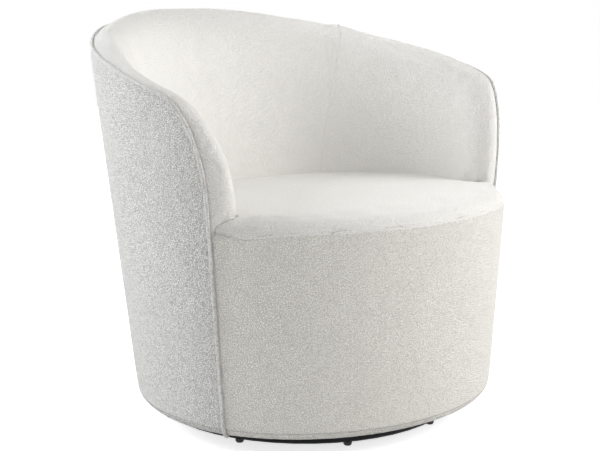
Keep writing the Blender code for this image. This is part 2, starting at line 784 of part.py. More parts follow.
def add_frame():
    """Posts, the top rail sawn to the barrel's curve, and the liners of thin hardboard outside them."""
    def under_rail(angle):
        return rail_foot(angle) - LAYER_GAP

    half = UPRIGHT_WIDTH / 2 / arc_per_degree(FRAME_FRONT_ANGLE, BOARD_TOP)
    for side, sign in (("left", -1), ("right", 1)):
        add_upright(f"front_upright_{side}", sign * FRONT_POST_ANGLE, seat_frame_top, 1)
        add_upright(f"arm_upright_{side}", sign * (FRAME_FRONT_ANGLE + half), under_rail, WALL_ROWS)
        add_upright(f"side_upright_{side}", sign * SIDE_POST_ANGLE, under_rail, WALL_ROWS)
        add_upright(f"back_upright_{side}", sign * BACK_POST_ANGLE, under_rail, WALL_ROWS)

    round_back = (FRAME_FRONT_ANGLE, 360 - FRAME_FRONT_ANGLE)
    add_slab("top_rail", round_back, (rail_foot, rail_top), (FRAME_INSET, FRAME_BACK_INSET), PLYWOOD)
    add_slab("side_liner", round_back, (frame_foot, rail_top), (UNDER_COVER, LINER_BACK), LINER_BOARD,
             rows=WALL_ROWS)
    add_slab("front_liner", (-SEAM_ANGLE, SEAM_ANGLE), (frame_foot, seat_frame_top),
             (UNDER_COVER, LINER_BACK), LINER_BOARD)


def seat_hole():
    """Half width, front and back half depths of the seat frame's opening."""
    width, front, back = inner_axes(SEAT_FRAME_TOP)
    landing = STRAP_LANDING + STRAP_MARGIN
    front = outer_axes(SEAT_FRAME_TOP)[1] - FRAME_BACK_INSET - SEAT_FRAME_FRONT
    return width - landing, front, back - landing


def add_seat_frame():
    """The ring of plywood that the uprights hold at the seat's height, and its webbing."""
    low = SEAT_FRAME_TOP - FRAME_PLY
    rim = [outer(angle, low, PADDING_INSET).xy for angle in WHOLE_ANGLES]
    hole = seat_hole()
    opening = [plan_point(360.0 * k / ROUND_STEPS, hole, low, 0.0).xy for k in range(ROUND_STEPS)]
    add_flat("seat_frame", [rim, opening], low, SEAT_FRAME_TOP, PLYWOOD)

    width, front, back = hole
    first = SEAT_FRAME_TOP + GAP
    for number, place in enumerate((-0.5, 0.0, 0.5), 1):
        depth = back if place > 0 else front
        far_edge = abs(place) + STRAP_WIDTH / 2 / depth
        half = width * math.sqrt(1 - far_edge ** 2) + STRAP_LANDING
        add_strap(f"cross_strap_{number}", 2 * half, STRAP_WIDTH, 0.0,
                  -WIDEST_AHEAD + place * depth, first)
    second = first + STRAP + GAP
    for number, place in enumerate((-0.4, 0.4), 1):
        rise = math.sqrt(1 - (abs(place) + STRAP_WIDTH / 2 / width) ** 2)
        front_end = -WIDEST_AHEAD - front * rise - STRAP_LANDING
        back_end = -WIDEST_AHEAD + back * rise + STRAP_LANDING
        add_strap(f"long_strap_{number}", STRAP_WIDTH, back_end - front_end, place * width,
                  (front_end + back_end) / 2, second)


def add_strap(name, size_x, size_y, x, y, foot):
    """A flat length of webbing."""
    bpy.ops.mesh.primitive_cube_add(size=1.0, location=(0, 0, 0))
    strap = bpy.context.active_object
    strap.name = name
    for group in list(strap.users_collection):
        group.objects.unlink(strap)
    CHAIR.objects.link(strap)
    for vertex in strap.data.vertices:
        vertex.co = (x + vertex.co.x * size_x, y + vertex.co.y * size_y, foot + (vertex.co.z + 0.5) * STRAP)
    strap.data.materials.append(WEBBING)


# Padding and covers

def add_padding():
    """Foam of the arms and back, over the rail and down the inside, with room for the frame."""
    def zone_foot(angle):
        return PADDING_FOOT - FRAME_PLY

    def zone_top(angle):
        return rail_top(angle) + LAYER_GAP

    slack = GAP / CORNER_ARC
    ends = (FRAME_FRONT_ANGLE - slack, 360 - FRAME_FRONT_ANGLE + slack)
    zone = add_slab("frame_zone", ends, (zone_foot, zone_top), (-COVER, PADDING_INSET), None, TOOLS,
                    rows=WALL_ROWS)
    padding = link("arm_back_padding", loft_mesh("arm_back_padding", padding_loops(UNDER_COVER)), FOAM)
    cut(padding, zone)
    smooth(padding)


def towards_arm(angle):
    """How far along the front, 0 to 1, the seat's seam has fallen to the rounded front of an arm."""
    nose = SEAM_ANGLE - NOSE_RISE / CORNER_ARC
    return min(1.0, from_front(angle) / nose) ** CORNER_FALL


def seat_edge(angle):
    """Height of the seat's edge seam."""
    side = from_front(angle)
    if side <= SEAM_ANGLE:
        return between(SEAT_SEAM_HEIGHT, SEAT_CORNER_HEIGHT, towards_arm(angle))
    return between(SEAT_CORNER_HEIGHT, SEAT_SEAM_HEIGHT, min(1.0, (side - SEAM_ANGLE) / SIDE_RISE_ANGLE))


def seat_level(y):
    """Height of the seat's top along its rounded edge, which falls towards the back."""
    return SEAT_CROWN_HEIGHT - SEAT_CROWN - SEAT_FALL * (y + WIDEST_AHEAD)


def seat_round(angle):
    """Height where the rounded edge starts, upright, and how far it rises from there to the top."""
    seam = seat_edge(angle)
    top = seat_level(outer(angle, seam, SEAT_EDGE_WIDTH).y)
    rise = (top - seam) / (1 - math.sin(math.radians(SEAT_EDGE_START)))
    return top - rise, rise


def seat_rings(depth):
    """Rings of points over the seat from its middle to its seam, a depth under its skin."""
    rings = []
    for k in range(CROWN_RINGS):
        share = k / CROWN_RINGS
        ring = []
        for angle in WHOLE_ANGLES:
            edge = outer(angle, seat_edge(angle), SEAT_EDGE_WIDTH)
            y = between(-WIDEST_AHEAD, edge.y, share)
            height = seat_level(y) + SEAT_CROWN * (1 - share ** 2) - depth
            ring.append(Vector((edge.x * share, y, height)))
        rings.append(ring)
    for k in range(EDGE_RINGS + 1):
        ring = []
        for angle in WHOLE_ANGLES:
            seam = seat_edge(angle)
            start, rise = seat_round(angle)
            first = math.asin((seam - start) / (rise - depth))
            turn = between(math.pi / 2, first, k / EDGE_RINGS)
            inset = SEAT_EDGE_WIDTH - (SEAT_EDGE_WIDTH - depth) * math.cos(turn)
            place = outer(angle, seam, inset)
            ring.append(Vector((place.x, place.y, start + (rise - depth) * math.sin(turn))))
        rings.append(ring)
    return rings


def disc_mesh(name, loops):
    """A closed skin over loops that start and end in one point each."""
    def build(bm):
        rows = [[bm.verts.new(point) for point in loop] for loop in loops]
        count = len(loops[0])
        for one, two in zip(rows, rows[1:]):
            for k in range(count):
                m = (k + 1) % count
                bm.faces.new((one[k], one[m], two[m], two[k]))
    return mesh_from(name, build)


def add_seat():
    """The seat cushion and its cover, shaped to the arms, their rounded fronts and the back."""
    around_arms = link("seat_notch", loft_mesh("seat_notch", padding_loops(-SEAT_GAP)), None, TOOLS)
    rim = [outer(angle, CUSHION_FOOT, UNDER_COVER) for angle in WHOLE_ANGLES]
    middle = [Vector((0.0, -WIDEST_AHEAD, CUSHION_FOOT)) for angle in WHOLE_ANGLES]
    loops = seat_rings(UNDER_COVER) + [rim, middle]
    cushion = link("seat_cushion", disc_mesh("seat_cushion", loops), FOAM)
    cut(cushion, around_arms)
    smooth(cushion)
    loops = seat_rings(0.0) + list(reversed(seat_rings(COVER)))
    cover = link("seat_cover", disc_mesh("seat_cover", loops), FABRIC)
    cut(cover, around_arms)
    smooth(cover)


def hem_rows(angle, top):
    """Points of a cover from its stapled flap, round the hem and up to its top edge."""
    points = [outer(angle, HEM_HEIGHT, HEM_RADIUS + HEM_FLAP)]
    points += [hem_point(angle, 90 * k / HEM_STEPS) for k in range(HEM_STEPS + 1)]
    for k in range(1, WALL_ROWS + 1):
        points.append(outer(angle, between(HEM_HEIGHT + HEM_RADIUS, top, k / WALL_ROWS)))
    return points


def outward(point):
    """The way out from the chair's middle in plan."""
    return Vector((point.x, point.y + WIDEST_AHEAD, 0.0))


def to_sitter(point):
    """The way in from the wall and a little up."""
    return Vector((0.0, 0.0, 0.3)) - outward(point)


def add_outer_covers():
    """The cover of the sides and back, and the cover of the front under the seat."""
    turned_in = COVER + GAP
    rows = []
    for u in stations(first=1.0):
        angle, z = seam_at(u)
        forward, up = seam_outward(u)
        rows.append(hem_rows(angle + forward * turned_in / CORNER_ARC, z - up * turned_in))
    add_cloth("outer_cover", both_sides(rows), outward)

    edge = SEAM_ANGLE - GAP / CORNER_ARC
    rows = []
    for angle in angles_between(-edge, edge):
        start, rise = seat_round(angle)
        top = seat_edge(angle) - between(GAP, turned_in, towards_arm(angle))
        inset = SEAT_EDGE_WIDTH * (1 - math.sqrt(1 - ((top - start) / rise) ** 2))
        rows.append(hem_rows(angle, start) + [outer(angle, top, inset)])
    add_cloth("front_cover", rows, outward)


def add_inner_covers():
    """The covers of the inside back and of the two arms with their rounded fronts."""
    def down_to_frame(u):
        points = section(u, 0.0)
        foot, above = points[-1], points[-2]
        return points[:-1] + [foot + (above - foot).normalized() * COVER]

    seam = along_seam(BACK_SEAM_ANGLE)
    gap = GAP / arc_per_degree(BACK_SEAM_ANGLE, SEAT_CROWN_HEIGHT, 1.0) / (BACK - CORNER_END)
    arm = [down_to_frame(u) for u in stations(first=NOSE_START, last=seam - gap)]
    back = [down_to_frame(u) for u in stations(first=seam + gap)]
    add_cloth("inside_arm_cover_right", arm, to_sitter)
    add_cloth("inside_arm_cover_left", [mirrored(points) for points in arm], to_sitter)
    add_cloth("inside_back_cover", both_sides(back), to_sitter)


def add_welt():
    """The raised seam from one hem up the arm front, round the top edge and down to the other hem."""
    stand_off = WELT_RADIUS + GAP
    half = [hem_point(SEAM_ANGLE, 90 * k / HEM_STEPS, stand_off) for k in range(1, HEM_STEPS + 1)]
    half += [outer(*seam_at(u), -stand_off) for u in stations()]
    points = both_sides([[point] for point in half])
    curve = bpy.data.curves.new("welt", "CURVE")
    curve.dimensions = "3D"
    curve.bevel_depth = WELT_RADIUS
    curve.bevel_resolution = 1
    curve.use_fill_caps = True
    spline = curve.splines.new("POLY")
    spline.points.add(len(points) - 1)
    for spot, (point,) in zip(spline.points, points):
        spot.co = (*point, 1.0)
    welt = bpy.data.objects.new("welt", curve)
    CHAIR.objects.link(welt)
    curve.materials.append(FABRIC)
    weld = welt.modifiers.new("weld the caps", "WELD")
    weld.merge_threshold = 0.0001


def add_dust_cover():
    """Black cloth stapled over the flaps under the bottom board, open round the swivel."""
    foot = HEM_HEIGHT - GAP - DUST_COVER
    rim = [outer(angle, HEM_HEIGHT, HEM_RADIUS + DUST_MARGIN).xy for angle in WHOLE_ANGLES]
    eye = list(around(SWIVEL_STEPS, PLATE_RADIUS + DUST_MARGIN))
    add_flat("dust_cover", [rim, eye], foot, foot + DUST_COVER, DUST_CLOTH)


# Joint axis: everything hangs on empties that stand on the swivel's axis

def swivel_place():
    """How far the swivel stands from the middle of the chair's depth."""
    front = outer(FRONT, seat_round(FRONT)[0]).y
    back = outer(BACK, top_plane(BACK)).y + GAP + 2 * WELT_RADIUS
    return -(front + back) / 2


def hang_on_axis(name, pieces):
    """An empty on the swivel's axis that carries these pieces and their cutters."""
    axis = bpy.data.objects.new(name, None)
    axis.empty_display_size = PLATE_RADIUS
    axis.location.y = swivel_place()
    CHAIR.objects.link(axis)
    for piece in pieces:
        piece.parent = axis


def hang_all():
    """The base stands still, the ball cage turns half as far as the chair, and the chair turns."""
    pieces = list(CHAIR.objects) + list(TOOLS.objects)
    base = [piece for piece in pieces if piece.name.startswith(BASE_NAMES)]
    balls = [piece for piece in pieces if piece.name.startswith(BALL_NAMES)]
    chair = [piece for piece in pieces if piece not in base + balls]
    hang_on_axis("base_axis", base)
    hang_on_axis("ball_axis", balls)
    hang_on_axis("chair_axis", chair)


add_base()
add_swivel()
add_bottom_board()
add_frame()
add_seat_frame()
add_padding()
add_seat()
add_outer_covers()
add_inner_covers()
add_welt()
add_dust_cover()
hang_all()
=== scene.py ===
"""Looks of the swivel barrel chair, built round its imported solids, in metres."""
import math

import bmesh
import bpy
import numpy as np
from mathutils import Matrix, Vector
from mathutils.bvhtree import BVHTree
from mathutils.kdtree import KDTree


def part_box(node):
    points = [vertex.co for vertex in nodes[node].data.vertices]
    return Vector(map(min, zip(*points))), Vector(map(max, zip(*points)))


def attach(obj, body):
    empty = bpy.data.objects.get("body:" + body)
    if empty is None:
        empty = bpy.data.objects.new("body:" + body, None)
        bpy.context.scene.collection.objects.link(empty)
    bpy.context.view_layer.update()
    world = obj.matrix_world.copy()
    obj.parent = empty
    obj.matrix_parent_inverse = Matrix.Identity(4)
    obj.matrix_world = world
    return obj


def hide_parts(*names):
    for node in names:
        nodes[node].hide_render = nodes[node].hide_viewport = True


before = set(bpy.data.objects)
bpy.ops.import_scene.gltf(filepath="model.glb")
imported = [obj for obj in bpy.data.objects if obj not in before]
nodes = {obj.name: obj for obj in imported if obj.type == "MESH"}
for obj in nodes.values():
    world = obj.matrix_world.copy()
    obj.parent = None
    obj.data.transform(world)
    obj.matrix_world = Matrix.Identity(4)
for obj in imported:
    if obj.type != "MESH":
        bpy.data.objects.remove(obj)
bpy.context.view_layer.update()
bpy.ops.object.select_all(action="DESELECT")


# Camera. It stands in front of the chair, to the left of someone who faces it and a little above the back's
# top edge, and looks slightly down through a long lens.
CAMERA_PLACE = (-1.5614, -1.8173, 0.7753)
CAMERA_LOOKS = (0.6454, 0.7425, -0.1792)
bpy.ops.object.camera_add(location=CAMERA_PLACE)
camera = bpy.context.active_object
camera.name = "camera"
camera.rotation_euler = Vector(CAMERA_LOOKS).to_track_quat("-Z", "Y").to_euler()
camera.data.lens = 75.0
camera.data.sensor_width = 36.0
bpy.context.scene.camera = camera


# Looped pile. The cloth is knitted in short curled loops that stand about 3 mm off their ground. Its colour
# is painted darker between the curls, painted shade where the loops shade one another, and lighter on them,
# painted light. Where people sit and lean, the loops are pressed flatter.
CURL_SIZE = 0.0033
BARREL_AXIS_Y = -0.046


def add_pile_group():
    """Node group of the curls: how high the pile stands, a mask of its tips, and a slow drift of tone."""
    group = bpy.data.node_groups.new("curled_pile", "ShaderNodeTree")
    for name, usual in (("Curl size", 0.004), ("Clumps", 0.3)):
        socket = group.interface.new_socket(name, in_out="INPUT", socket_type="NodeSocketFloat")
        socket.default_value = usual
    for name in ("Height", "Tips", "Drift"):
        group.interface.new_socket(name, in_out="OUTPUT", socket_type="NodeSocketFloat")
    make, wire = group.nodes.new, group.links.new
    entry, leave = make("NodeGroupInput"), make("NodeGroupOutput")
    place = make("ShaderNodeTexCoord")

    wander = make("ShaderNodeTexNoise")
    wander.inputs["Scale"].default_value = 190.0
    wander.inputs["Detail"].default_value = 2.0
    wire(place.outputs["Object"], wander.inputs["Vector"])
    push = make("ShaderNodeVectorMath")
    push.operation = "SCALE"
    push.inputs["Scale"].default_value = 0.0035
    wire(wander.outputs["Color"], push.inputs[0])
    bent = make("ShaderNodeVectorMath")
    bent.operation = "ADD"
    wire(place.outputs["Object"], bent.inputs[0])
    wire(push.outputs["Vector"], bent.inputs[1])

    curls_a_metre = make("ShaderNodeMath")
    curls_a_metre.operation = "DIVIDE"
    curls_a_metre.inputs[0].default_value = 1.0
    wire(entry.outputs["Curl size"], curls_a_metre.inputs[1])
    curls = make("ShaderNodeTexVoronoi")
    curls.feature = "DISTANCE_TO_EDGE"
    wire(bent.outputs["Vector"], curls.inputs["Vector"])
    wire(curls_a_metre.outputs["Value"], curls.inputs["Scale"])
    dome = make("ShaderNodeMapRange")
    dome.interpolation_type = "SMOOTHSTEP"
    dome.inputs["From Min"].default_value = 0.0
    dome.inputs["From Max"].default_value = 0.17
    wire(curls.outputs["Distance"], dome.inputs["Value"])

    fuzz = make("ShaderNodeTexNoise")
    fuzz.inputs["Scale"].default_value = 520.0
    fuzz.inputs["Detail"].default_value = 3.0
    wire(bent.outputs["Vector"], fuzz.inputs["Vector"])
    ruffled = make("ShaderNodeMath")
    ruffled.operation = "MULTIPLY_ADD"
    ruffled.inputs[1].default_value = 0.5
    wire(fuzz.outputs["Fac"], ruffled.inputs[0])
    wire(dome.outputs["Result"], ruffled.inputs[2])

    clumps = make("ShaderNodeTexNoise")
    clumps.inputs["Scale"].default_value = 165.0
    clumps.inputs["Detail"].default_value = 1.0
    wire(place.outputs["Object"], clumps.inputs["Vector"])
    level = make("ShaderNodeMath")
    level.operation = "SUBTRACT"
    level.inputs[1].default_value = 0.5
    wire(clumps.outputs["Fac"], level.inputs[0])
    gathered = make("ShaderNodeMath")
    gathered.operation = "MULTIPLY_ADD"
    wire(level.outputs["Value"], gathered.inputs[0])
    wire(entry.outputs["Clumps"], gathered.inputs[1])
    wire(ruffled.outputs["Value"], gathered.inputs[2])
    wire(gathered.outputs["Value"], leave.inputs["Height"])

    tips = make("ShaderNodeMapRange")
    tips.inputs["From Min"].default_value = 0.15
    tips.inputs["From Max"].default_value = 1.2
    wire(gathered.outputs["Value"], tips.inputs["Value"])
    wire(tips.outputs["Result"], leave.inputs["Tips"])

    drift = make("ShaderNodeTexNoise")
    drift.inputs["Scale"].default_value = 9.0
    drift.inputs["Detail"].default_value = 3.0
    wire(place.outputs["Object"], drift.inputs["Vector"])
    wire(drift.outputs["Fac"], leave.inputs["Drift"])
    return group


PILE = add_pile_group()


def press_pile(tree, stands, tips, inner, outer):
    """The pile's height and tips, even within one radius from the barrel's axis and free beyond another."""
    least_tips = 0.55
    make, wire = tree.nodes.new, tree.links.new
    place = make("ShaderNodeTexCoord")
    from_axis = make("ShaderNodeVectorMath")
    from_axis.operation = "MULTIPLY_ADD"
    from_axis.inputs[1].default_value = (1.0, 1.0, 0.0)
    from_axis.inputs[2].default_value = (0.0, -BARREL_AXIS_Y, 0.0)
    wire(place.outputs["Object"], from_axis.inputs[0])
    radius = make("ShaderNodeVectorMath")
    radius.operation = "LENGTH"
    wire(from_axis.outputs["Vector"], radius.inputs[0])
    free = make("ShaderNodeMapRange")
    free.interpolation_type = "SMOOTHSTEP"
    free.inputs["From Min"].default_value = inner
    free.inputs["From Max"].default_value = outer
    wire(radius.outputs["Value"], free.inputs["Value"])

    # Where the pile is pressed, the painted shade between the curls is made shallower.
    softer = make("ShaderNodeMath")
    softer.operation = "MULTIPLY_ADD"
    softer.inputs[1].default_value = 1 - least_tips
    softer.inputs[2].default_value = least_tips
    wire(tips, softer.inputs[0])
    evened = make("ShaderNodeMix")
    wire(free.outputs["Result"], evened.inputs["Factor"])
    wire(softer.outputs["Value"], evened.inputs["A"])
    wire(tips, evened.inputs["B"])

    taller = make("ShaderNodeMath")
    taller.operation = "ADD"
    taller.inputs[1].default_value = 1.0
    wire(free.outputs["Result"], taller.inputs[0])
    raised = make("ShaderNodeMath")
    raised.operation = "MULTIPLY"
    wire(taller.outputs["Value"], raised.inputs[0])
    wire(stands, raised.inputs[1])
    return raised.outputs["Value"], evened.outputs["Result"]


def stitch_hem(tree, stands, tone, height):
    """The pile's height and colour with a stitched line at a height and a fuller hem below it, whose colour is
    painted lighter: painted light on a band that turns down, away from the lamps.
    """
    half_width, below_line = 0.0011, 0.001
    # The hem band's colour is raised by a share of painted light, where the rounded foot turns down, away from
    # the lamps.
    line_darker, hem_painted_light, hem_fuller = 0.22, 0.12, 1.2
    make, wire = tree.nodes.new, tree.links.new
    place = make("ShaderNodeTexCoord")
    parts = make("ShaderNodeSeparateXYZ")
    wire(place.outputs["Object"], parts.inputs["Vector"])
    on_line = make("ShaderNodeMath")
    on_line.operation = "COMPARE"
    on_line.inputs[1].default_value = height
    on_line.inputs[2].default_value = half_width
    wire(parts.outputs["Z"], on_line.inputs[0])
    in_hem = make("ShaderNodeMath")
    in_hem.operation = "LESS_THAN"
    in_hem.inputs[1].default_value = height - below_line
    wire(parts.outputs["Z"], in_hem.inputs[0])

    drawn = make("ShaderNodeMath")
    drawn.operation = "MULTIPLY_ADD"
    drawn.inputs[1].default_value = -line_darker
    drawn.inputs[2].default_value = 1.0
    wire(on_line.outputs["Value"], drawn.inputs[0])
    # Painted light on the hem band.
    lit = make("ShaderNodeMath")
    lit.operation = "MULTIPLY_ADD"
    lit.inputs[1].default_value = hem_painted_light
    wire(in_hem.outputs["Value"], lit.inputs[0])
    wire(drawn.outputs["Value"], lit.inputs[2])
    shown = make("ShaderNodeVectorMath")
    shown.operation = "SCALE"
    wire(tone, shown.inputs[0])
    wire(lit.outputs["Value"], shown.inputs["Scale"])

    bulk = make("ShaderNodeMath")
    bulk.operation = "MULTIPLY"
    wire(in_hem.outputs["Value"], bulk.inputs[0])
    wire(stands, bulk.inputs[1])
    fuller = make("ShaderNodeMath")
    fuller.operation = "MULTIPLY_ADD"
    fuller.inputs[1].default_value = hem_fuller
    wire(bulk.outputs["Value"], fuller.inputs[0])
    wire(stands, fuller.inputs[2])
    sunk = make("ShaderNodeMath")
    sunk.operation = "SUBTRACT"
    wire(fuller.outputs["Value"], sunk.inputs[0])
    wire(on_line.outputs["Value"], sunk.inputs[1])
    return sunk.outputs["Value"], shown.outputs["Vector"]


def add_boucle(name, deep, clumps, shade, light, stitch=None, pressed=None):
    """The pile cloth: its curls' depth and clumping, its colour between them, painted shade, and on them,
    painted light, the height of a stitched line over a fuller hem, and the radii from the barrel's axis in and
    beyond which it is pressed flat and stands free."""
    material = bpy.data.materials.new(name)
    material.use_nodes = True
    tree = material.node_tree
    make, wire = tree.nodes.new, tree.links.new
    cloth = tree.nodes["Principled BSDF"]
    cloth.inputs["Roughness"].default_value = 0.95
    cloth.inputs["Specular IOR Level"].default_value = 0.15
    cloth.inputs["Sheen Weight"].default_value = 0.2
    cloth.inputs["Sheen Roughness"].default_value = 0.6
    cloth.inputs["Sheen Tint"].default_value = (1.0, 0.99, 0.98, 1.0)
    pile = make("ShaderNodeGroup")
    pile.node_tree = PILE
    pile.inputs["Curl size"].default_value = CURL_SIZE
    pile.inputs["Clumps"].default_value = clumps
    stands, tips = pile.outputs["Height"], pile.outputs["Tips"]
    if pressed is not None:
        stands, tips = press_pile(tree, stands, tips, *pressed)

    # Painted shade between the curls and painted light on their tips, mixed by the tips' mask.
    colour = make("ShaderNodeMix")
    colour.data_type = "RGBA"
    colour.inputs["A"].default_value = (*shade, 1.0)
    colour.inputs["B"].default_value = (*light, 1.0)
    wire(tips, colour.inputs["Factor"])
    drift = make("ShaderNodeMapRange")
    drift.inputs["To Min"].default_value = 0.965
    drift.inputs["To Max"].default_value = 1.02
    wire(pile.outputs["Drift"], drift.inputs["Value"])
    toned = make("ShaderNodeVectorMath")
    toned.operation = "SCALE"
    wire(colour.outputs["Result"], toned.inputs[0])
    wire(drift.outputs["Result"], toned.inputs["Scale"])
    tone = toned.outputs["Vector"]
    if stitch is not None:
        stands, tone = stitch_hem(tree, stands, tone, stitch)
    wire(tone, cloth.inputs["Base Color"])

    relief = make("ShaderNodeBump")
    relief.inputs["Strength"].default_value = 1.0
    relief.inputs["Distance"].default_value = deep
    wire(stands, relief.inputs["Height"])
    wire(relief.outputs["Normal"], cloth.inputs["Normal"])
    return material


# Outer cover. One sweep of the pile cloth round the sides and the back, sewn to the others along the top
# edge and down both arm fronts, pulled over the rounded foot of the frame and stitched above its hem.
HEM_STITCH = 0.0505
LOWEST_SEAM = 0.05
CLOTH_THICKNESS = 0.0025
# The outer cover's colours are painted darker than the same cloth inside the barrel: painted shade on the
# outer sides and back.
BOUCLE = add_boucle("boucle", deep=0.0017, clumps=1.1, shade=(0.515, 0.505, 0.482),
                    light=(0.860, 0.850, 0.818), stitch=HEM_STITCH)


def pick(piece):
    """Selects a piece alone."""
    bpy.ops.object.select_all(action="DESELECT")
    piece.select_set(True)
    bpy.context.view_layer.objects.active = piece


def copy_node(name, node):
    """A copy of a node's mesh with its loose triangles merged."""
    piece = bpy.data.objects.new(name, nodes[node].data.copy())
    bpy.context.scene.collection.objects.link(piece)
    piece.data.materials.clear()
    pick(piece)
    bpy.ops.object.mode_set(mode="EDIT")
    bpy.ops.mesh.select_all(action="SELECT")
    bpy.ops.mesh.remove_doubles(threshold=1e-5)
    bpy.ops.object.mode_set(mode="OBJECT")
    return piece


def join_quads(piece):
    """Joins a piece's triangles up into quads."""
    pick(piece)
    bpy.ops.object.mode_set(mode="EDIT")
    bpy.ops.mesh.select_all(action="SELECT")
    bpy.ops.mesh.tris_convert_to_quads(face_threshold=math.radians(60), shape_threshold=math.radians(80))
    bpy.ops.object.mode_set(mode="OBJECT")


def joined_faces(bm):
    """A mesh's faces in groups that hang together."""
    left, groups = set(bm.faces), []
    while left:
        group, rim = [], [left.pop()]
        while rim:
            face = rim.pop()
            group.append(face)
            for side in face.edges:
                for other in side.link_faces:
                    if other in left:
                        left.remove(other)
                        rim.append(other)
        groups.append(group)
    return groups


def take_skin(name, node, backing):
    """The side of a cover that shows: of its node's closed sheet, the one that faces away from its backing."""
    skin = copy_node(name, node)
    bpy.ops.object.mode_set(mode="EDIT")
    bpy.ops.mesh.select_all(action="DESELECT")
    bpy.ops.mesh.select_mode(type="EDGE")
    bpy.ops.mesh.edges_select_sharp(sharpness=math.radians(50))
    bpy.ops.mesh.edge_split(type="EDGE")
    bpy.ops.object.mode_set(mode="OBJECT")

    behind = BVHTree.FromObject(nodes[backing], bpy.context.evaluated_depsgraph_get())

    def faces_away(side):
        """The area of a side that looks away from the backing, less what looks towards it."""
        total = 0.0
        for face in side:
            middle = face.calc_center_median()
            near = behind.find_nearest(middle)[0]
            total += face.calc_area() * face.normal.dot((middle - near).normalized())
        return total

    bm = bmesh.new()
    bm.from_mesh(skin.data)
    shown = set(max(joined_faces(bm), key=faces_away))
    bmesh.ops.delete(bm, geom=[face for face in bm.faces if face not in shown], context="FACES")
    bm.to_mesh(skin.data)
    bm.free()
    join_quads(skin)
    return skin


def apply_modifier(piece, kind, **settings):
    """Adds a modifier to a piece, with its settings, and applies it."""
    pick(piece)
    modifier = piece.modifiers.new(kind.lower(), kind)
    for setting, value in settings.items():
        setattr(modifier, setting, value)
    bpy.ops.object.modifier_apply(modifier=modifier.name)


def smooth_out(piece, levels):
    """Turns a coarse sheet of quads into a smooth one."""
    apply_modifier(piece, "SUBSURF", levels=levels, render_levels=levels, boundary_smooth="PRESERVE_CORNERS")


def above_hem(point):
    """True for the edges that are sewn, and not for the one that is stapled under the board."""
    return point.z > LOWEST_SEAM


def open_edges(piece):
    """The ends of a sheet's open edges, which have a face on one side only."""
    faces_on = {}
    for face in piece.data.polygons:
        for ends in face.edge_keys:
            faces_on[ends] = faces_on.get(ends, 0) + 1
    return [ends for ends, faces in faces_on.items() if faces == 1]


def border_points(piece, sides=None):
    """Points along a sheet's open edges, those that sides() keeps."""
    points = []
    for ends in open_edges(piece):
        a, b = (piece.data.vertices[end].co for end in ends)
        if sides is None or sides((a + b) / 2):
            points += [a.copy(), (a + b) / 2]
    return points


def nearest_tree(points):
    """A tree that finds the nearest of some points."""
    tree = KDTree(len(points))
    for number, point in enumerate(points):
        tree.insert(point, number)
    tree.balance()
    return tree


def tuck_in(piece, reach, depth, sides=None):
    """Draws a sheet in towards its sewn edges, as stitching draws padded cloth, in a nearly round valley."""
    roundness = 0.98
    seam = nearest_tree(border_points(piece, sides))
    normals = [vertex.normal.copy() for vertex in piece.data.vertices]
    for vertex, normal in zip(piece.data.vertices, normals):
        away = seam.find(vertex.co)[2]
        if away < reach:
            share = 1 - away / reach
            vertex.co -= normal * depth * (1 - math.sqrt(1 - share * share * roundness))


def turn_in(piece, rows, sides=None):
    """Turns a sheet's open edges in under the seam: rows of steps outwards along it and down behind it."""
    bm = bmesh.new()
    bm.from_mesh(piece.data)
    rim = [edge for edge in bm.edges if edge.is_boundary]
    if sides is not None:
        rim = [edge for edge in rim if sides((edge.verts[0].co + edge.verts[1].co) / 2)]
    for out, down in rows:
        away, normal = {}, {}
        for edge in rim:
            face = edge.link_faces[0]
            a, b = edge.verts
            side = (b.co - a.co).cross(face.normal)
            if side.dot((a.co + b.co) / 2 - face.calc_center_median()) < 0:
                side = -side
            for vertex in edge.verts:
                away[vertex] = away.get(vertex, Vector()) + side.normalized()
                normal[vertex] = normal.get(vertex, Vector()) + face.normal
        steps = [(vertex.co.copy(), away[vertex].normalized(), normal[vertex].normalized())
                 for vertex in away]
        made = bmesh.ops.extrude_edge_only(bm, edges=rim)["geom"]
        rim = [item for item in made if isinstance(item, bmesh.types.BMEdge)]
        tree = nearest_tree([place for place, side, up in steps])
        for vertex in {vertex for edge in rim for vertex in edge.verts}:
            place, side, up = steps[tree.find(vertex.co)[1]]
            vertex.co = place + side * out - up * down
    bmesh.ops.recalc_face_normals(bm, faces=bm.faces)
    bm.to_mesh(piece.data)
    bm.free()


def ease(share):
    """A share kept between 0 and 1, that starts and ends gently."""
    share = min(1.0, max(0.0, share))
    return share * share * (3 - 2 * share)


def hump(offset):
    """1 at an offset of 0, falling gently to 0 at an offset of 1 either way."""
    return max(0.0, 1 - offset ** 2) ** 2


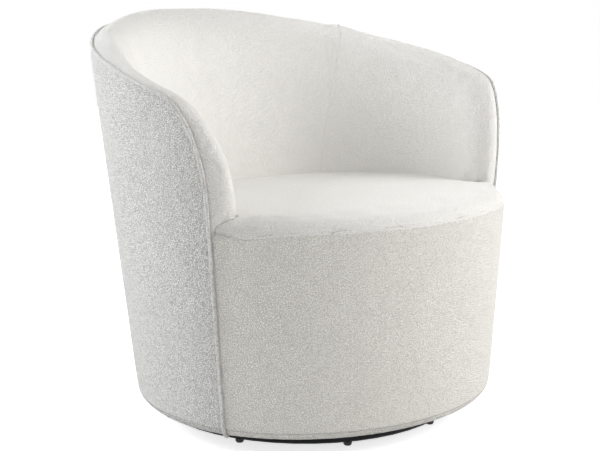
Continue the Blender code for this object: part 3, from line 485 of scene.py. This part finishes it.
def settle_roll(piece, reach=0.046, crest=False):
    """Draws the top seam in and down round the back, under the padded roll; crest fills the roll over it.
    Angles are turned round the barrel from the front's middle, 0 degrees, to the back's, 180."""
    seam_from, seam_full, drawn_in, drawn_down = 96.0, 138.0, 0.013, 0.015
    crest_from, crest_full, crest_past_seam, crest_rise = 144.0, 172.0, 0.040, 0.0085
    lowest_top_edge, steps = 0.4, 12
    welt_mesh = nodes["welt"].data
    lines = [[welt_mesh.vertices[end].co for end in edge.vertices] for edge in welt_mesh.edges]
    seam = nearest_tree([a.lerp(b, step / steps) for a, b in lines if a.z > lowest_top_edge
                         for step in range(steps)])
    for vertex in piece.data.vertices:
        turned = math.degrees(math.atan2(abs(vertex.co.x), BARREL_AXIS_Y - vertex.co.y))
        away = seam.find(vertex.co)[2]
        inward = Vector((-vertex.co.x, BARREL_AXIS_Y - vertex.co.y, 0.0)).normalized()
        settles = ease((turned - seam_from) / (seam_full - seam_from)) * hump(away / reach)
        vertex.co += settles * (inward * drawn_in - Vector((0.0, 0.0, drawn_down)))
        if crest:
            fills = ease((turned - crest_from) / (crest_full - crest_from))
            vertex.co.z += crest_rise * fills * hump((away - crest_past_seam) / crest_past_seam)


def raise_pile(piece, size, height):
    """Lifts the surface unevenly, as the curls stand."""
    clumps = bpy.data.textures.new(piece.name + "_clumps", "CLOUDS")
    clumps.noise_scale = size
    clumps.noise_depth = 1
    apply_modifier(piece, "DISPLACE", texture=clumps, texture_coords="LOCAL", strength=height, mid_level=0.5)


def dress(piece, finish):
    """Shades a piece smooth and gives it its one material."""
    pick(piece)
    bpy.ops.object.shade_smooth()
    piece.data.materials.clear()
    piece.data.materials.append(finish)


def finish_cover(piece, cloth, replaced):
    """Gives the sheet its thickness, cloth and place on the chair."""
    apply_modifier(piece, "SOLIDIFY", thickness=CLOTH_THICKNESS, offset=-1.0)
    dress(piece, cloth)
    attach(piece, "chair")
    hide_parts(replaced)


outer_cover = take_skin("outer_cover_cloth", "outer_cover", "side_liner")
smooth_out(outer_cover, 3)
tuck_in(outer_cover, reach=0.012, depth=0.0012, sides=above_hem)
turn_in(outer_cover, [(0.0030, -0.0002), (0.0014, 0.0030)], sides=above_hem)
settle_roll(outer_cover, reach=0.030)
raise_pile(outer_cover, size=0.006, height=0.0009)
finish_cover(outer_cover, BOUCLE, "outer_cover")


# Front cover. The panel of pile cloth under the seat, between the two vertical seams. It is drawn over a
# hardboard front and the rounded foot of the frame, with the same stitched hem as the outer cover.
# A copy of the outer cover's cloth with its colours painted for the light on the front panel: lighter and
# warmer than the outer cover, darker than the inside covers, with less painted shade between the curls.
FRONT_BOUCLE = add_boucle("boucle_front", deep=0.0010, clumps=0.4, shade=(0.620, 0.600, 0.556),
                          light=(0.870, 0.850, 0.797), stitch=HEM_STITCH)


def draw_corners(piece):
    """Draws the cloth up and over to the welt at the foot of each arm front, where seat and arm are sewn."""
    welt_end = Vector((0.3500, -0.2055, 0.3830))
    crease_end = Vector((0.3428, -0.2160, 0.3845))
    reach, lift = 0.045, 0.0135
    share_over, most_over = 0.7, 0.009
    across = (crease_end - welt_end).to_2d().normalized().to_3d()
    for vertex in piece.data.vertices:
        place = Vector((abs(vertex.co.x), vertex.co.y, vertex.co.z))
        share = hump((place - crease_end).length / reach)
        if share > 0:
            from_welt = max(0.0, (place - welt_end).dot(across))
            over = across * min(share_over * from_welt, most_over * share)
            place += Vector((0.0, 0.0, lift * share)) - over
            vertex.co = (math.copysign(place.x, vertex.co.x), place.y, place.z)


front_cover = take_skin("front_cover_cloth", "front_cover", "front_liner")
smooth_out(front_cover, 3)
tuck_in(front_cover, reach=0.012, depth=0.0012, sides=above_hem)
turn_in(front_cover, [(0.0026, 0.0003), (0.0014, 0.0030)], sides=above_hem)
draw_corners(front_cover)
raise_pile(front_cover, size=0.006, height=0.0009)
finish_cover(front_cover, FRONT_BOUCLE, "front_cover")


# Inside arm covers. Each lines the inside of an arm and wraps its rounded front and top, drawn over foam
# and sewn down all round, so that it swells a little between its seams.
# The same cloth with its colours painted much lighter than the outer cover's: painted light inside the barrel,
# for the light the inside surfaces throw onto one another. Within 0.31 m of the barrel's axis the pile is also
# pressed flatter, with less painted shade between its curls.
PRESSED_BOUCLE_PAINTED_LIGHT = add_boucle("boucle_pressed_painted_light", deep=0.0008, clumps=0.5, shade=(0.84, 0.825, 0.787),
                         light=(0.955, 0.940, 0.900), pressed=(0.31, 0.41))


def swell(piece, pressure, slack, most=0.003, from_seam=0.035, frames=20):
    """Fills the cloth out over its padding by simulation, sewn down along its edges. The movement has a cap,
    most, and is full only at from_seam away from them."""
    seam = nearest_tree(border_points(piece))
    sewn = piece.vertex_groups.new(name="sewn")
    sewn.add(sorted({end for ends in open_edges(piece) for end in ends}), 1.0, "REPLACE")
    cloth = piece.modifiers.new("cloth", "CLOTH")
    cloth.settings.quality = 4
    cloth.settings.mass = 0.3
    cloth.settings.tension_stiffness = cloth.settings.compression_stiffness = 12.0
    cloth.settings.bending_stiffness = 2.0
    cloth.settings.shrink_min = -slack
    cloth.settings.vertex_group_mass = "sewn"
    cloth.settings.use_pressure = True
    cloth.settings.uniform_pressure_force = pressure
    cloth.settings.effector_weights.gravity = 0.0
    cloth.collision_settings.use_collision = False
    cloth.collision_settings.use_self_collision = False
    cloth.point_cache.frame_start = 1
    cloth.point_cache.frame_end = frames
    for number in range(1, frames + 1):
        bpy.context.scene.frame_set(number)
    filled = piece.evaluated_get(bpy.context.evaluated_depsgraph_get()).to_mesh()
    size = len(piece.data.vertices) * 3
    before, after = np.empty(size), np.empty(size)
    piece.data.vertices.foreach_get("co", before)
    filled.vertices.foreach_get("co", after)
    move = (after - before).reshape(-1, 3)
    length = np.linalg.norm(move, axis=1, keepdims=True)
    move *= np.minimum(1.0, most / np.maximum(length, 1e-9))
    for number, vertex in enumerate(piece.data.vertices):
        move[number] *= ease(seam.find(vertex.co)[2] / from_seam)
    piece.data.vertices.foreach_set("co", (before.reshape(-1, 3) + move).ravel())
    piece.modifiers.remove(cloth)
    piece.vertex_groups.remove(sewn)
    bpy.context.scene.frame_set(1)


def pad_out(cover, pressure, slack, valley):
    """Smooths a cover that lies on foam, and lets it swell between the valleys along its seams."""
    smooth_out(cover, 2)
    swell(cover, pressure, slack)
    smooth_out(cover, 1)
    tuck_in(cover, reach=0.010, depth=valley)


for side in ("left", "right"):
    arm_cover = take_skin(f"arm_cover_cloth_{side}", f"inside_arm_cover_{side}", "arm_back_padding")
    pad_out(arm_cover, pressure=3.0, slack=0.008, valley=0.0004)
    turn_in(arm_cover, [(0.0034, -0.0001), (0.0016, 0.0034)])
    settle_roll(arm_cover, crest=True)
    draw_corners(arm_cover)
    raise_pile(arm_cover, size=0.006, height=0.0007)
    finish_cover(arm_cover, PRESSED_BOUCLE_PAINTED_LIGHT, f"inside_arm_cover_{side}")


# Inside back cover. The panel behind the sitter, between two upright seams, rolled over the top edge and
# drawn over the same foam as the arms.
back_cover = take_skin("back_cover_cloth", "inside_back_cover", "arm_back_padding")
pad_out(back_cover, pressure=3.0, slack=0.008, valley=0.0004)
turn_in(back_cover, [(0.0010, 0.0012), (0.0040, 0.0003), (0.0012, 0.0030)])
settle_roll(back_cover, crest=True)
raise_pile(back_cover, size=0.006, height=0.0007)
finish_cover(back_cover, PRESSED_BOUCLE_PAINTED_LIGHT, "inside_back_cover")


# Seat. A crowned foam cushion with its cover drawn tight over it, rounded to its edges and sewn to the
# front cover; it is closed underneath, where the foam lies on the webbing.
SEAT_MIDDLE = Vector((0.0, -0.11, 0.0))
CUSHION_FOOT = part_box("seat_cushion")[0][2]
FOOT_SHARE = 0.965


def close_underneath(piece, middle, foot, share):
    """Carries a cover's open edge down to a foot that is drawn in round a middle, and closes it there."""
    pick(piece)
    bpy.ops.object.mode_set(mode="EDIT")
    bpy.ops.mesh.select_all(action="DESELECT")
    bpy.ops.mesh.select_mode(type="EDGE")
    bpy.ops.mesh.select_non_manifold(extend=False, use_wire=False, use_boundary=True, use_multi_face=False,
                                     use_non_contiguous=False, use_verts=False)
    bpy.ops.mesh.extrude_edges_move()
    bpy.ops.object.mode_set(mode="OBJECT")
    for vertex in piece.data.vertices:
        if vertex.select:
            vertex.co = middle + (vertex.co - middle) * share
            vertex.co.z = foot
    bpy.ops.object.mode_set(mode="EDIT")
    bpy.ops.mesh.edge_face_add()
    bpy.ops.mesh.select_all(action="SELECT")
    bpy.ops.mesh.normals_make_consistent(inside=False)
    bpy.ops.object.mode_set(mode="OBJECT")


seat = take_skin("seat_cloth", "seat_cover", "seat_cushion")
pad_out(seat, pressure=2.5, slack=0.004, valley=0.0010)
raise_pile(seat, size=0.006, height=0.0007)
turn_in(seat, [(0.0020, 0.0001), (0.0008, 0.0034)])
draw_corners(seat)
close_underneath(seat, SEAT_MIDDLE, CUSHION_FOOT, FOOT_SHARE)
dress(seat, PRESSED_BOUCLE_PAINTED_LIGHT)
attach(seat, "chair")
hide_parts("seat_cover", "seat_cushion")


# Welt. A raised, filled seam of the same cloth, about 8 mm across, sewn between the outer and the inside
# covers: up one arm front from the hem, along the top edge and down the other arm front. Its loose curls let
# some light through.
# Its colours are painted lighter than the outer cover's: painted light on the raised seam, and on its side in
# the groove beside the covers, where shade falls.
WELT_BOUCLE = add_boucle("boucle_welt", deep=0.0022, clumps=1.2, shade=(0.62, 0.610, 0.583),
                         light=(0.90, 0.888, 0.857))
loose_curls = WELT_BOUCLE.node_tree.nodes["Principled BSDF"]
loose_curls.inputs["Subsurface Weight"].default_value = 0.3
loose_curls.inputs["Subsurface Radius"].default_value = (1.0, 0.95, 0.9)
loose_curls.inputs["Subsurface Scale"].default_value = 0.004

welt = copy_node("welt_cloth", "welt")
join_quads(welt)
smooth_out(welt, 3)
apply_modifier(welt, "DISPLACE", strength=0.0009, mid_level=0.0)
settle_roll(welt)
raise_pile(welt, size=0.005, height=0.0026)
dress(welt, WELT_BOUCLE)
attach(welt, "chair")
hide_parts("welt")


# Foam. One barrel of cut upholstery foam, wide over the back and narrow at the arm fronts. It is glued round
# the frame's inside and over the top rail, and the arm and back covers press it 3 mm down.
PRESSED_DOWN = 0.0030


def add_pits_group():
    """Node group of fine random pits: open cells in foam, grit in paint, the pebble of moulded plastic."""
    group = bpy.data.node_groups.new("fine_pits", "ShaderNodeTree")
    group.interface.new_socket("Scale", in_out="INPUT", socket_type="NodeSocketFloat").default_value = 900.0
    for name in ("Height", "Smudge"):
        group.interface.new_socket(name, in_out="OUTPUT", socket_type="NodeSocketFloat")
    make, wire = group.nodes.new, group.links.new
    entry, leave = make("NodeGroupInput"), make("NodeGroupOutput")
    place = make("ShaderNodeTexCoord")
    cells = make("ShaderNodeTexVoronoi")
    wire(place.outputs["Object"], cells.inputs["Vector"])
    wire(entry.outputs["Scale"], cells.inputs["Scale"])
    wire(cells.outputs["Distance"], leave.inputs["Height"])
    smudge = make("ShaderNodeTexNoise")
    smudge.inputs["Scale"].default_value = 22.0
    smudge.inputs["Detail"].default_value = 5.0
    wire(place.outputs["Object"], smudge.inputs["Vector"])
    wire(smudge.outputs["Fac"], leave.inputs["Smudge"])
    return group


PITS = add_pits_group()


def add_finish(name, dull, bright, roughness, pits, deep, metallic=0.0):
    """A rigid or foam finish: its two tones, its least and greatest roughness, and its pits' number a metre
    and depth."""
    material = bpy.data.materials.new(name)
    material.use_nodes = True
    tree = material.node_tree
    make, wire = tree.nodes.new, tree.links.new
    surface = tree.nodes["Principled BSDF"]
    surface.inputs["Metallic"].default_value = metallic
    grit = make("ShaderNodeGroup")
    grit.node_tree = PITS
    grit.inputs["Scale"].default_value = pits
    colour = make("ShaderNodeMix")
    colour.data_type = "RGBA"
    colour.inputs["A"].default_value = (*dull, 1.0)
    colour.inputs["B"].default_value = (*bright, 1.0)
    wire(grit.outputs["Smudge"], colour.inputs["Factor"])
    wire(colour.outputs["Result"], surface.inputs["Base Color"])
    rough = make("ShaderNodeMapRange")
    rough.inputs["From Min"].default_value = 0.3
    rough.inputs["From Max"].default_value = 0.7
    rough.inputs["To Min"].default_value = roughness[0]
    rough.inputs["To Max"].default_value = roughness[1]
    wire(grit.outputs["Smudge"], rough.inputs["Value"])
    wire(rough.outputs["Result"], surface.inputs["Roughness"])
    relief = make("ShaderNodeBump")
    relief.inputs["Strength"].default_value = 0.6
    relief.inputs["Distance"].default_value = deep
    wire(grit.outputs["Height"], relief.inputs["Height"])
    wire(relief.outputs["Normal"], surface.inputs["Normal"])
    return material


foam = copy_node("barrel_foam", "arm_back_padding")
join_quads(foam)
smooth_out(foam, 1)
raise_pile(foam, size=0.012, height=0.0008)
draw_corners(foam)
settle_roll(foam, crest=True)
pressed_places = [vertex.co - vertex.normal * PRESSED_DOWN for vertex in foam.data.vertices]
for vertex, place in zip(foam.data.vertices, pressed_places):
    vertex.co = place
dress(foam, add_finish("cut_foam", (0.72, 0.66, 0.45), (0.84, 0.79, 0.58), roughness=(0.85, 0.95),
                       pits=700.0, deep=0.0006))
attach(foam, "chair")
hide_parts("arm_back_padding")


# Webbing. Five flat elastic straps, 50 mm wide, woven of brown yarn round rubber threads. Three lie one way
# and two the other way under the cushion, pulled tight across the seat frame and stapled to it, so that they
# are a little narrower in the middle.
STRAP_PARTS = 24
STRAP_NARROWS = 0.03


def add_webbing_weave():
    """Woven elastic: dark yarn between the threads and lighter yarn on them, both ways."""
    material = bpy.data.materials.new("elastic_webbing")
    material.use_nodes = True
    tree = material.node_tree
    make, wire = tree.nodes.new, tree.links.new
    band = tree.nodes["Principled BSDF"]
    band.inputs["Roughness"].default_value = 0.85
    place = make("ShaderNodeTexCoord")
    crossing = make("ShaderNodeMath")
    crossing.operation = "MULTIPLY"
    for number, way in enumerate("XY"):
        threads = make("ShaderNodeTexWave")
        threads.bands_direction = way
        threads.inputs["Scale"].default_value = 110.0
        threads.inputs["Distortion"].default_value = 0.6
        wire(place.outputs["Object"], threads.inputs["Vector"])
        wire(threads.outputs["Fac"], crossing.inputs[number])
    yarn = make("ShaderNodeMix")
    yarn.data_type = "RGBA"
    yarn.inputs["A"].default_value = (0.10, 0.085, 0.075, 1.0)
    yarn.inputs["B"].default_value = (0.30, 0.26, 0.23, 1.0)
    wire(crossing.outputs["Value"], yarn.inputs["Factor"])
    wire(yarn.outputs["Result"], band.inputs["Base Color"])
    relief = make("ShaderNodeBump")
    relief.inputs["Distance"].default_value = 0.0005
    wire(crossing.outputs["Value"], relief.inputs["Height"])
    wire(relief.outputs["Normal"], band.inputs["Normal"])
    return material


WEBBING = add_webbing_weave()


def add_strap(node):
    """A strap in the place of its node, with rounded edges and drawn in a little towards its middle."""
    low, high = (Vector(corner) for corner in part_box(node))
    along = 0 if node.startswith("cross") else 1
    across = 1 - along
    bpy.ops.object.select_all(action="DESELECT")
    bpy.ops.mesh.primitive_cube_add(size=1.0, location=(low + high) / 2)
    strap = bpy.context.active_object
    strap.name = node + "_band"
    strap.scale = high - low
    bpy.ops.object.transform_apply(location=True, rotation=True, scale=True)
    apply_modifier(strap, "BEVEL", width=0.0009, segments=3)
    cut_normal = Vector((0.0, 0.0, 0.0))
    cut_normal[along] = 1.0
    bpy.ops.object.mode_set(mode="EDIT")
    for cut in range(1, STRAP_PARTS):
        bpy.ops.mesh.select_all(action="SELECT")
        bpy.ops.mesh.bisect(plane_co=low.lerp(high, cut / STRAP_PARTS), plane_no=cut_normal)
    bpy.ops.object.mode_set(mode="OBJECT")
    middle = (low[across] + high[across]) / 2
    for vertex in strap.data.vertices:
        share = (vertex.co[along] - low[along]) / (high[along] - low[along])
        kept = 1 - STRAP_NARROWS * math.sin(math.pi * share)
        vertex.co[across] = middle + (vertex.co[across] - middle) * kept
    bpy.ops.object.shade_smooth_by_angle(angle=math.radians(40))
    strap.data.materials.append(WEBBING)
    return strap


for node in ("cross_strap_1", "cross_strap_2", "cross_strap_3", "long_strap_1", "long_strap_2"):
    strap = add_strap(node)
    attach(strap, "chair")
    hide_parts(node)


# Dust cover. A flat piece of thin black non-woven cloth, cut out round the swivel plate. It is stapled under
# the bottom board, over the raw edges of the covers, and keeps dust out of the frame.
dust = copy_node("dust_cover_cloth", "dust_cover")
join_quads(dust)
smooth_out(dust, 2)
raise_pile(dust, size=0.05, height=0.0008)
bpy.ops.object.shade_smooth_by_angle(angle=math.radians(40))
dust.data.materials.append(
    add_finish("nonwoven_black", (0.012, 0.012, 0.013), (0.03, 0.03, 0.031), roughness=(0.8, 0.95),
               pits=450.0, deep=0.0003))
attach(dust, "chair")
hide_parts("dust_cover")


# Frame. Sawn birch plywood: the bottom board, the seat frame and the top rail, joined by eight uprights
# that are glued and screwed between them. It is bare wood, since nobody sees it.
def add_plywood():
    """Birch plywood as the saw left it, with its grain along X and Z."""
    material = bpy.data.materials.new("sawn_plywood")
    material.use_nodes = True
    tree = material.node_tree
    make, wire = tree.nodes.new, tree.links.new
    wood = tree.nodes["Principled BSDF"]
    wood.inputs["Roughness"].default_value = 0.7
    place = make("ShaderNodeTexCoord")
    stretch = make("ShaderNodeMapping")
    stretch.inputs["Scale"].default_value = (6.0, 90.0, 6.0)
    wire(place.outputs["Object"], stretch.inputs["Vector"])
    grain = make("ShaderNodeTexNoise")
    grain.inputs["Scale"].default_value = 1.5
    grain.inputs["Detail"].default_value = 6.0
    grain.inputs["Distortion"].default_value = 0.4
    wire(stretch.outputs["Vector"], grain.inputs["Vector"])
    veneer = make("ShaderNodeValToRGB")
    dark, pale = veneer.color_ramp.elements
    dark.position = 0.3
    dark.color = (0.40, 0.26, 0.14, 1.0)
    pale.position = 0.7
    pale.color = (0.68, 0.50, 0.31, 1.0)
    wire(grain.outputs["Fac"], veneer.inputs["Fac"])
    wire(veneer.outputs["Color"], wood.inputs["Base Color"])
    saw_marks = make("ShaderNodeBump")
    saw_marks.inputs["Distance"].default_value = 0.0003
    wire(grain.outputs["Fac"], saw_marks.inputs["Height"])
    wire(saw_marks.outputs["Normal"], wood.inputs["Normal"])
    return material


def paint_nodes(material, *names):
    """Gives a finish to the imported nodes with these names."""
    for name in names:
        for slot in nodes[name].material_slots:
            slot.material = material


paint_nodes(add_plywood(), "bottom_board", "seat_frame", "top_rail",
            *(f"{place}_upright_{side}" for place in ("front", "arm", "side", "back")
              for side in ("left", "right")))


# Liners. Thin brown hardboard bent round the uprights and across the front and stapled to them, so that the
# outer and front covers have something smooth to lie on.
hardboard = add_finish("pressed_hardboard", (0.22, 0.13, 0.075), (0.34, 0.22, 0.13), roughness=(0.6, 0.8),
                       pits=600.0, deep=0.0002)
paint_nodes(hardboard, "side_liner", "front_liner")


# Base. A flat steel ring and a cross welded into it that carries the swivel, powder-coated satin black. It
# shows as a thin dark band in the gap under the hem.
powder_coat = add_finish("black_powder_coat", (0.005, 0.006, 0.008), (0.010, 0.011, 0.013),
                         roughness=(0.42, 0.58), pits=1500.0, deep=0.00008)
powder_coat.node_tree.nodes["Principled BSDF"].inputs["Specular IOR Level"].default_value = 0.18
paint_nodes(powder_coat, "base_ring", "base_cross")


# Glides. Nine small black feet of moulded plastic, pushed into holes in the ring from below. They are what
# the chair stands on.
moulded_black = add_finish("moulded_black", (0.010, 0.010, 0.010), (0.020, 0.020, 0.021),
                           roughness=(0.45, 0.6), pits=1200.0, deep=0.0001)
paint_nodes(moulded_black, *(f"glide_{number}" for number in range(1, 10)))


# Swivel. Two pressed, zinc-plated steel plates with a grooved race each, held together by a headed pin. The
# lower one is screwed to the cross and the upper one to the bottom board.
zinc_plate = add_finish("zinc_plate", (0.48, 0.49, 0.52), (0.66, 0.67, 0.70), roughness=(0.28, 0.45),
                        pits=1100.0, deep=0.00005, metallic=1.0)
paint_nodes(zinc_plate, "swivel_lower_plate", "swivel_upper_plate", "swivel_pin",
            *(f"{place}_screw_{number}" for place in ("lower", "upper") for number in range(1, 5)))


# Bearing. Eight polished steel balls that roll in the two grooves, spaced by a ring of moulded off-white
# nylon, which turns half as fast as the seat.
polished_ball = add_finish("polished_ball", (0.70, 0.70, 0.72), (0.80, 0.80, 0.82), roughness=(0.05, 0.14),
                           pits=2000.0, deep=0.00001, metallic=1.0)
paint_nodes(polished_ball, *(f"ball_{number}" for number in range(1, 9)))
moulded_nylon = add_finish("moulded_nylon", (0.72, 0.70, 0.64), (0.80, 0.78, 0.72), roughness=(0.4, 0.55),
                           pits=1400.0, deep=0.00005)
paint_nodes(moulded_nylon, "ball_cage")


# Floor. A plain white studio floor without an edge. To the camera it is lifted to white, as in the
# photograph, and it still takes the chair's soft shadow.
FLOOR_LIFT = 0.72


def seen_directly(tree):
    """1 for rays that the camera, a gloss or a clear piece sends, 0 for the light that falls on the chair."""
    make, wire = tree.nodes.new, tree.links.new
    ray = make("ShaderNodeLightPath")
    gloss = make("ShaderNodeMath")
    gloss.operation = "MAXIMUM"
    wire(ray.outputs["Is Glossy Ray"], gloss.inputs[0])
    wire(ray.outputs["Is Transmission Ray"], gloss.inputs[1])
    seen = make("ShaderNodeMath")
    seen.operation = "MAXIMUM"
    wire(ray.outputs["Is Camera Ray"], seen.inputs[0])
    wire(gloss.outputs["Value"], seen.inputs[1])
    return seen.outputs["Value"]


def add_pale_floor():
    """A matt white that is lifted further where it is seen directly."""
    material = bpy.data.materials.new("pale_floor")
    material.use_nodes = True
    tree = material.node_tree
    make, wire = tree.nodes.new, tree.links.new
    ground = tree.nodes["Principled BSDF"]
    ground.inputs["Base Color"].default_value = (0.8, 0.8, 0.8, 1.0)
    ground.inputs["Roughness"].default_value = 0.9
    share = make("ShaderNodeMath")
    share.operation = "MULTIPLY"
    share.inputs[1].default_value = FLOOR_LIFT
    wire(seen_directly(tree), share.inputs[0])
    lift = make("ShaderNodeEmission")
    wire(share.outputs["Value"], lift.inputs["Strength"])
    both = make("ShaderNodeAddShader")
    wire(ground.outputs["BSDF"], both.inputs[0])
    wire(lift.outputs["Emission"], both.inputs[1])
    wire(both.outputs["Shader"], tree.nodes["Material Output"].inputs["Surface"])
    return material


bpy.ops.object.select_all(action="DESELECT")
bpy.ops.mesh.primitive_plane_add(size=12.0, location=(0.0, 0.0, 0.0))
floor = bpy.context.active_object
floor.name = "floor"
floor.data.materials.append(add_pale_floor())


# Light. A pale room all round, which the camera sees as white, and wide soft lamps from high on the right,
# from low on the right and from the left rear.
ROOM_LIGHT = 0.67


def add_room():
    """A white room that gives less light than the camera sees in it."""
    world = bpy.data.worlds.new("room")
    bpy.context.scene.world = world
    world.use_nodes = True
    tree = world.node_tree
    make, wire = tree.nodes.new, tree.links.new
    room = tree.nodes["Background"]
    room.inputs["Color"].default_value = (1.0, 1.0, 1.0, 1.0)
    room.inputs["Strength"].default_value = ROOM_LIGHT
    backdrop = make("ShaderNodeBackground")
    backdrop.inputs["Color"].default_value = (1.0, 1.0, 1.0, 1.0)
    backdrop.inputs["Strength"].default_value = 1.0
    choice = make("ShaderNodeMixShader")
    wire(seen_directly(tree), choice.inputs["Fac"])
    wire(room.outputs["Background"], choice.inputs[1])
    wire(backdrop.outputs["Background"], choice.inputs[2])
    wire(choice.outputs["Shader"], tree.nodes["World Output"].inputs["Surface"])


def add_lamp(name, place, aim, size, power, colour=(1.0, 1.0, 1.0)):
    """A square soft lamp that looks at a point."""
    bpy.ops.object.light_add(type="AREA", location=place)
    lamp = bpy.context.active_object
    lamp.name = name
    lamp.rotation_euler = (Vector(aim) - Vector(place)).to_track_quat("-Z", "Y").to_euler()
    lamp.data.shape = "SQUARE"
    lamp.data.size = size
    lamp.data.energy = power
    lamp.data.color = colour


add_room()
add_lamp("key", place=(2.0, -1.9, 1.85), aim=(0.0, 0.0, 0.35), size=1.8, power=58.0,
         colour=(1.0, 0.995, 0.985))
add_lamp("right", place=(2.4, -1.2, 0.9), aim=(0.0, 0.0, 0.3), size=1.4, power=13.0)
add_lamp("rear", place=(-1.8, 1.9, 1.7), aim=(0.0, 0.0, 0.4), size=1.4, power=66.0,
         colour=(0.93, 0.965, 1.0))

bpy.context.scene.view_settings.view_transform = "Standard"
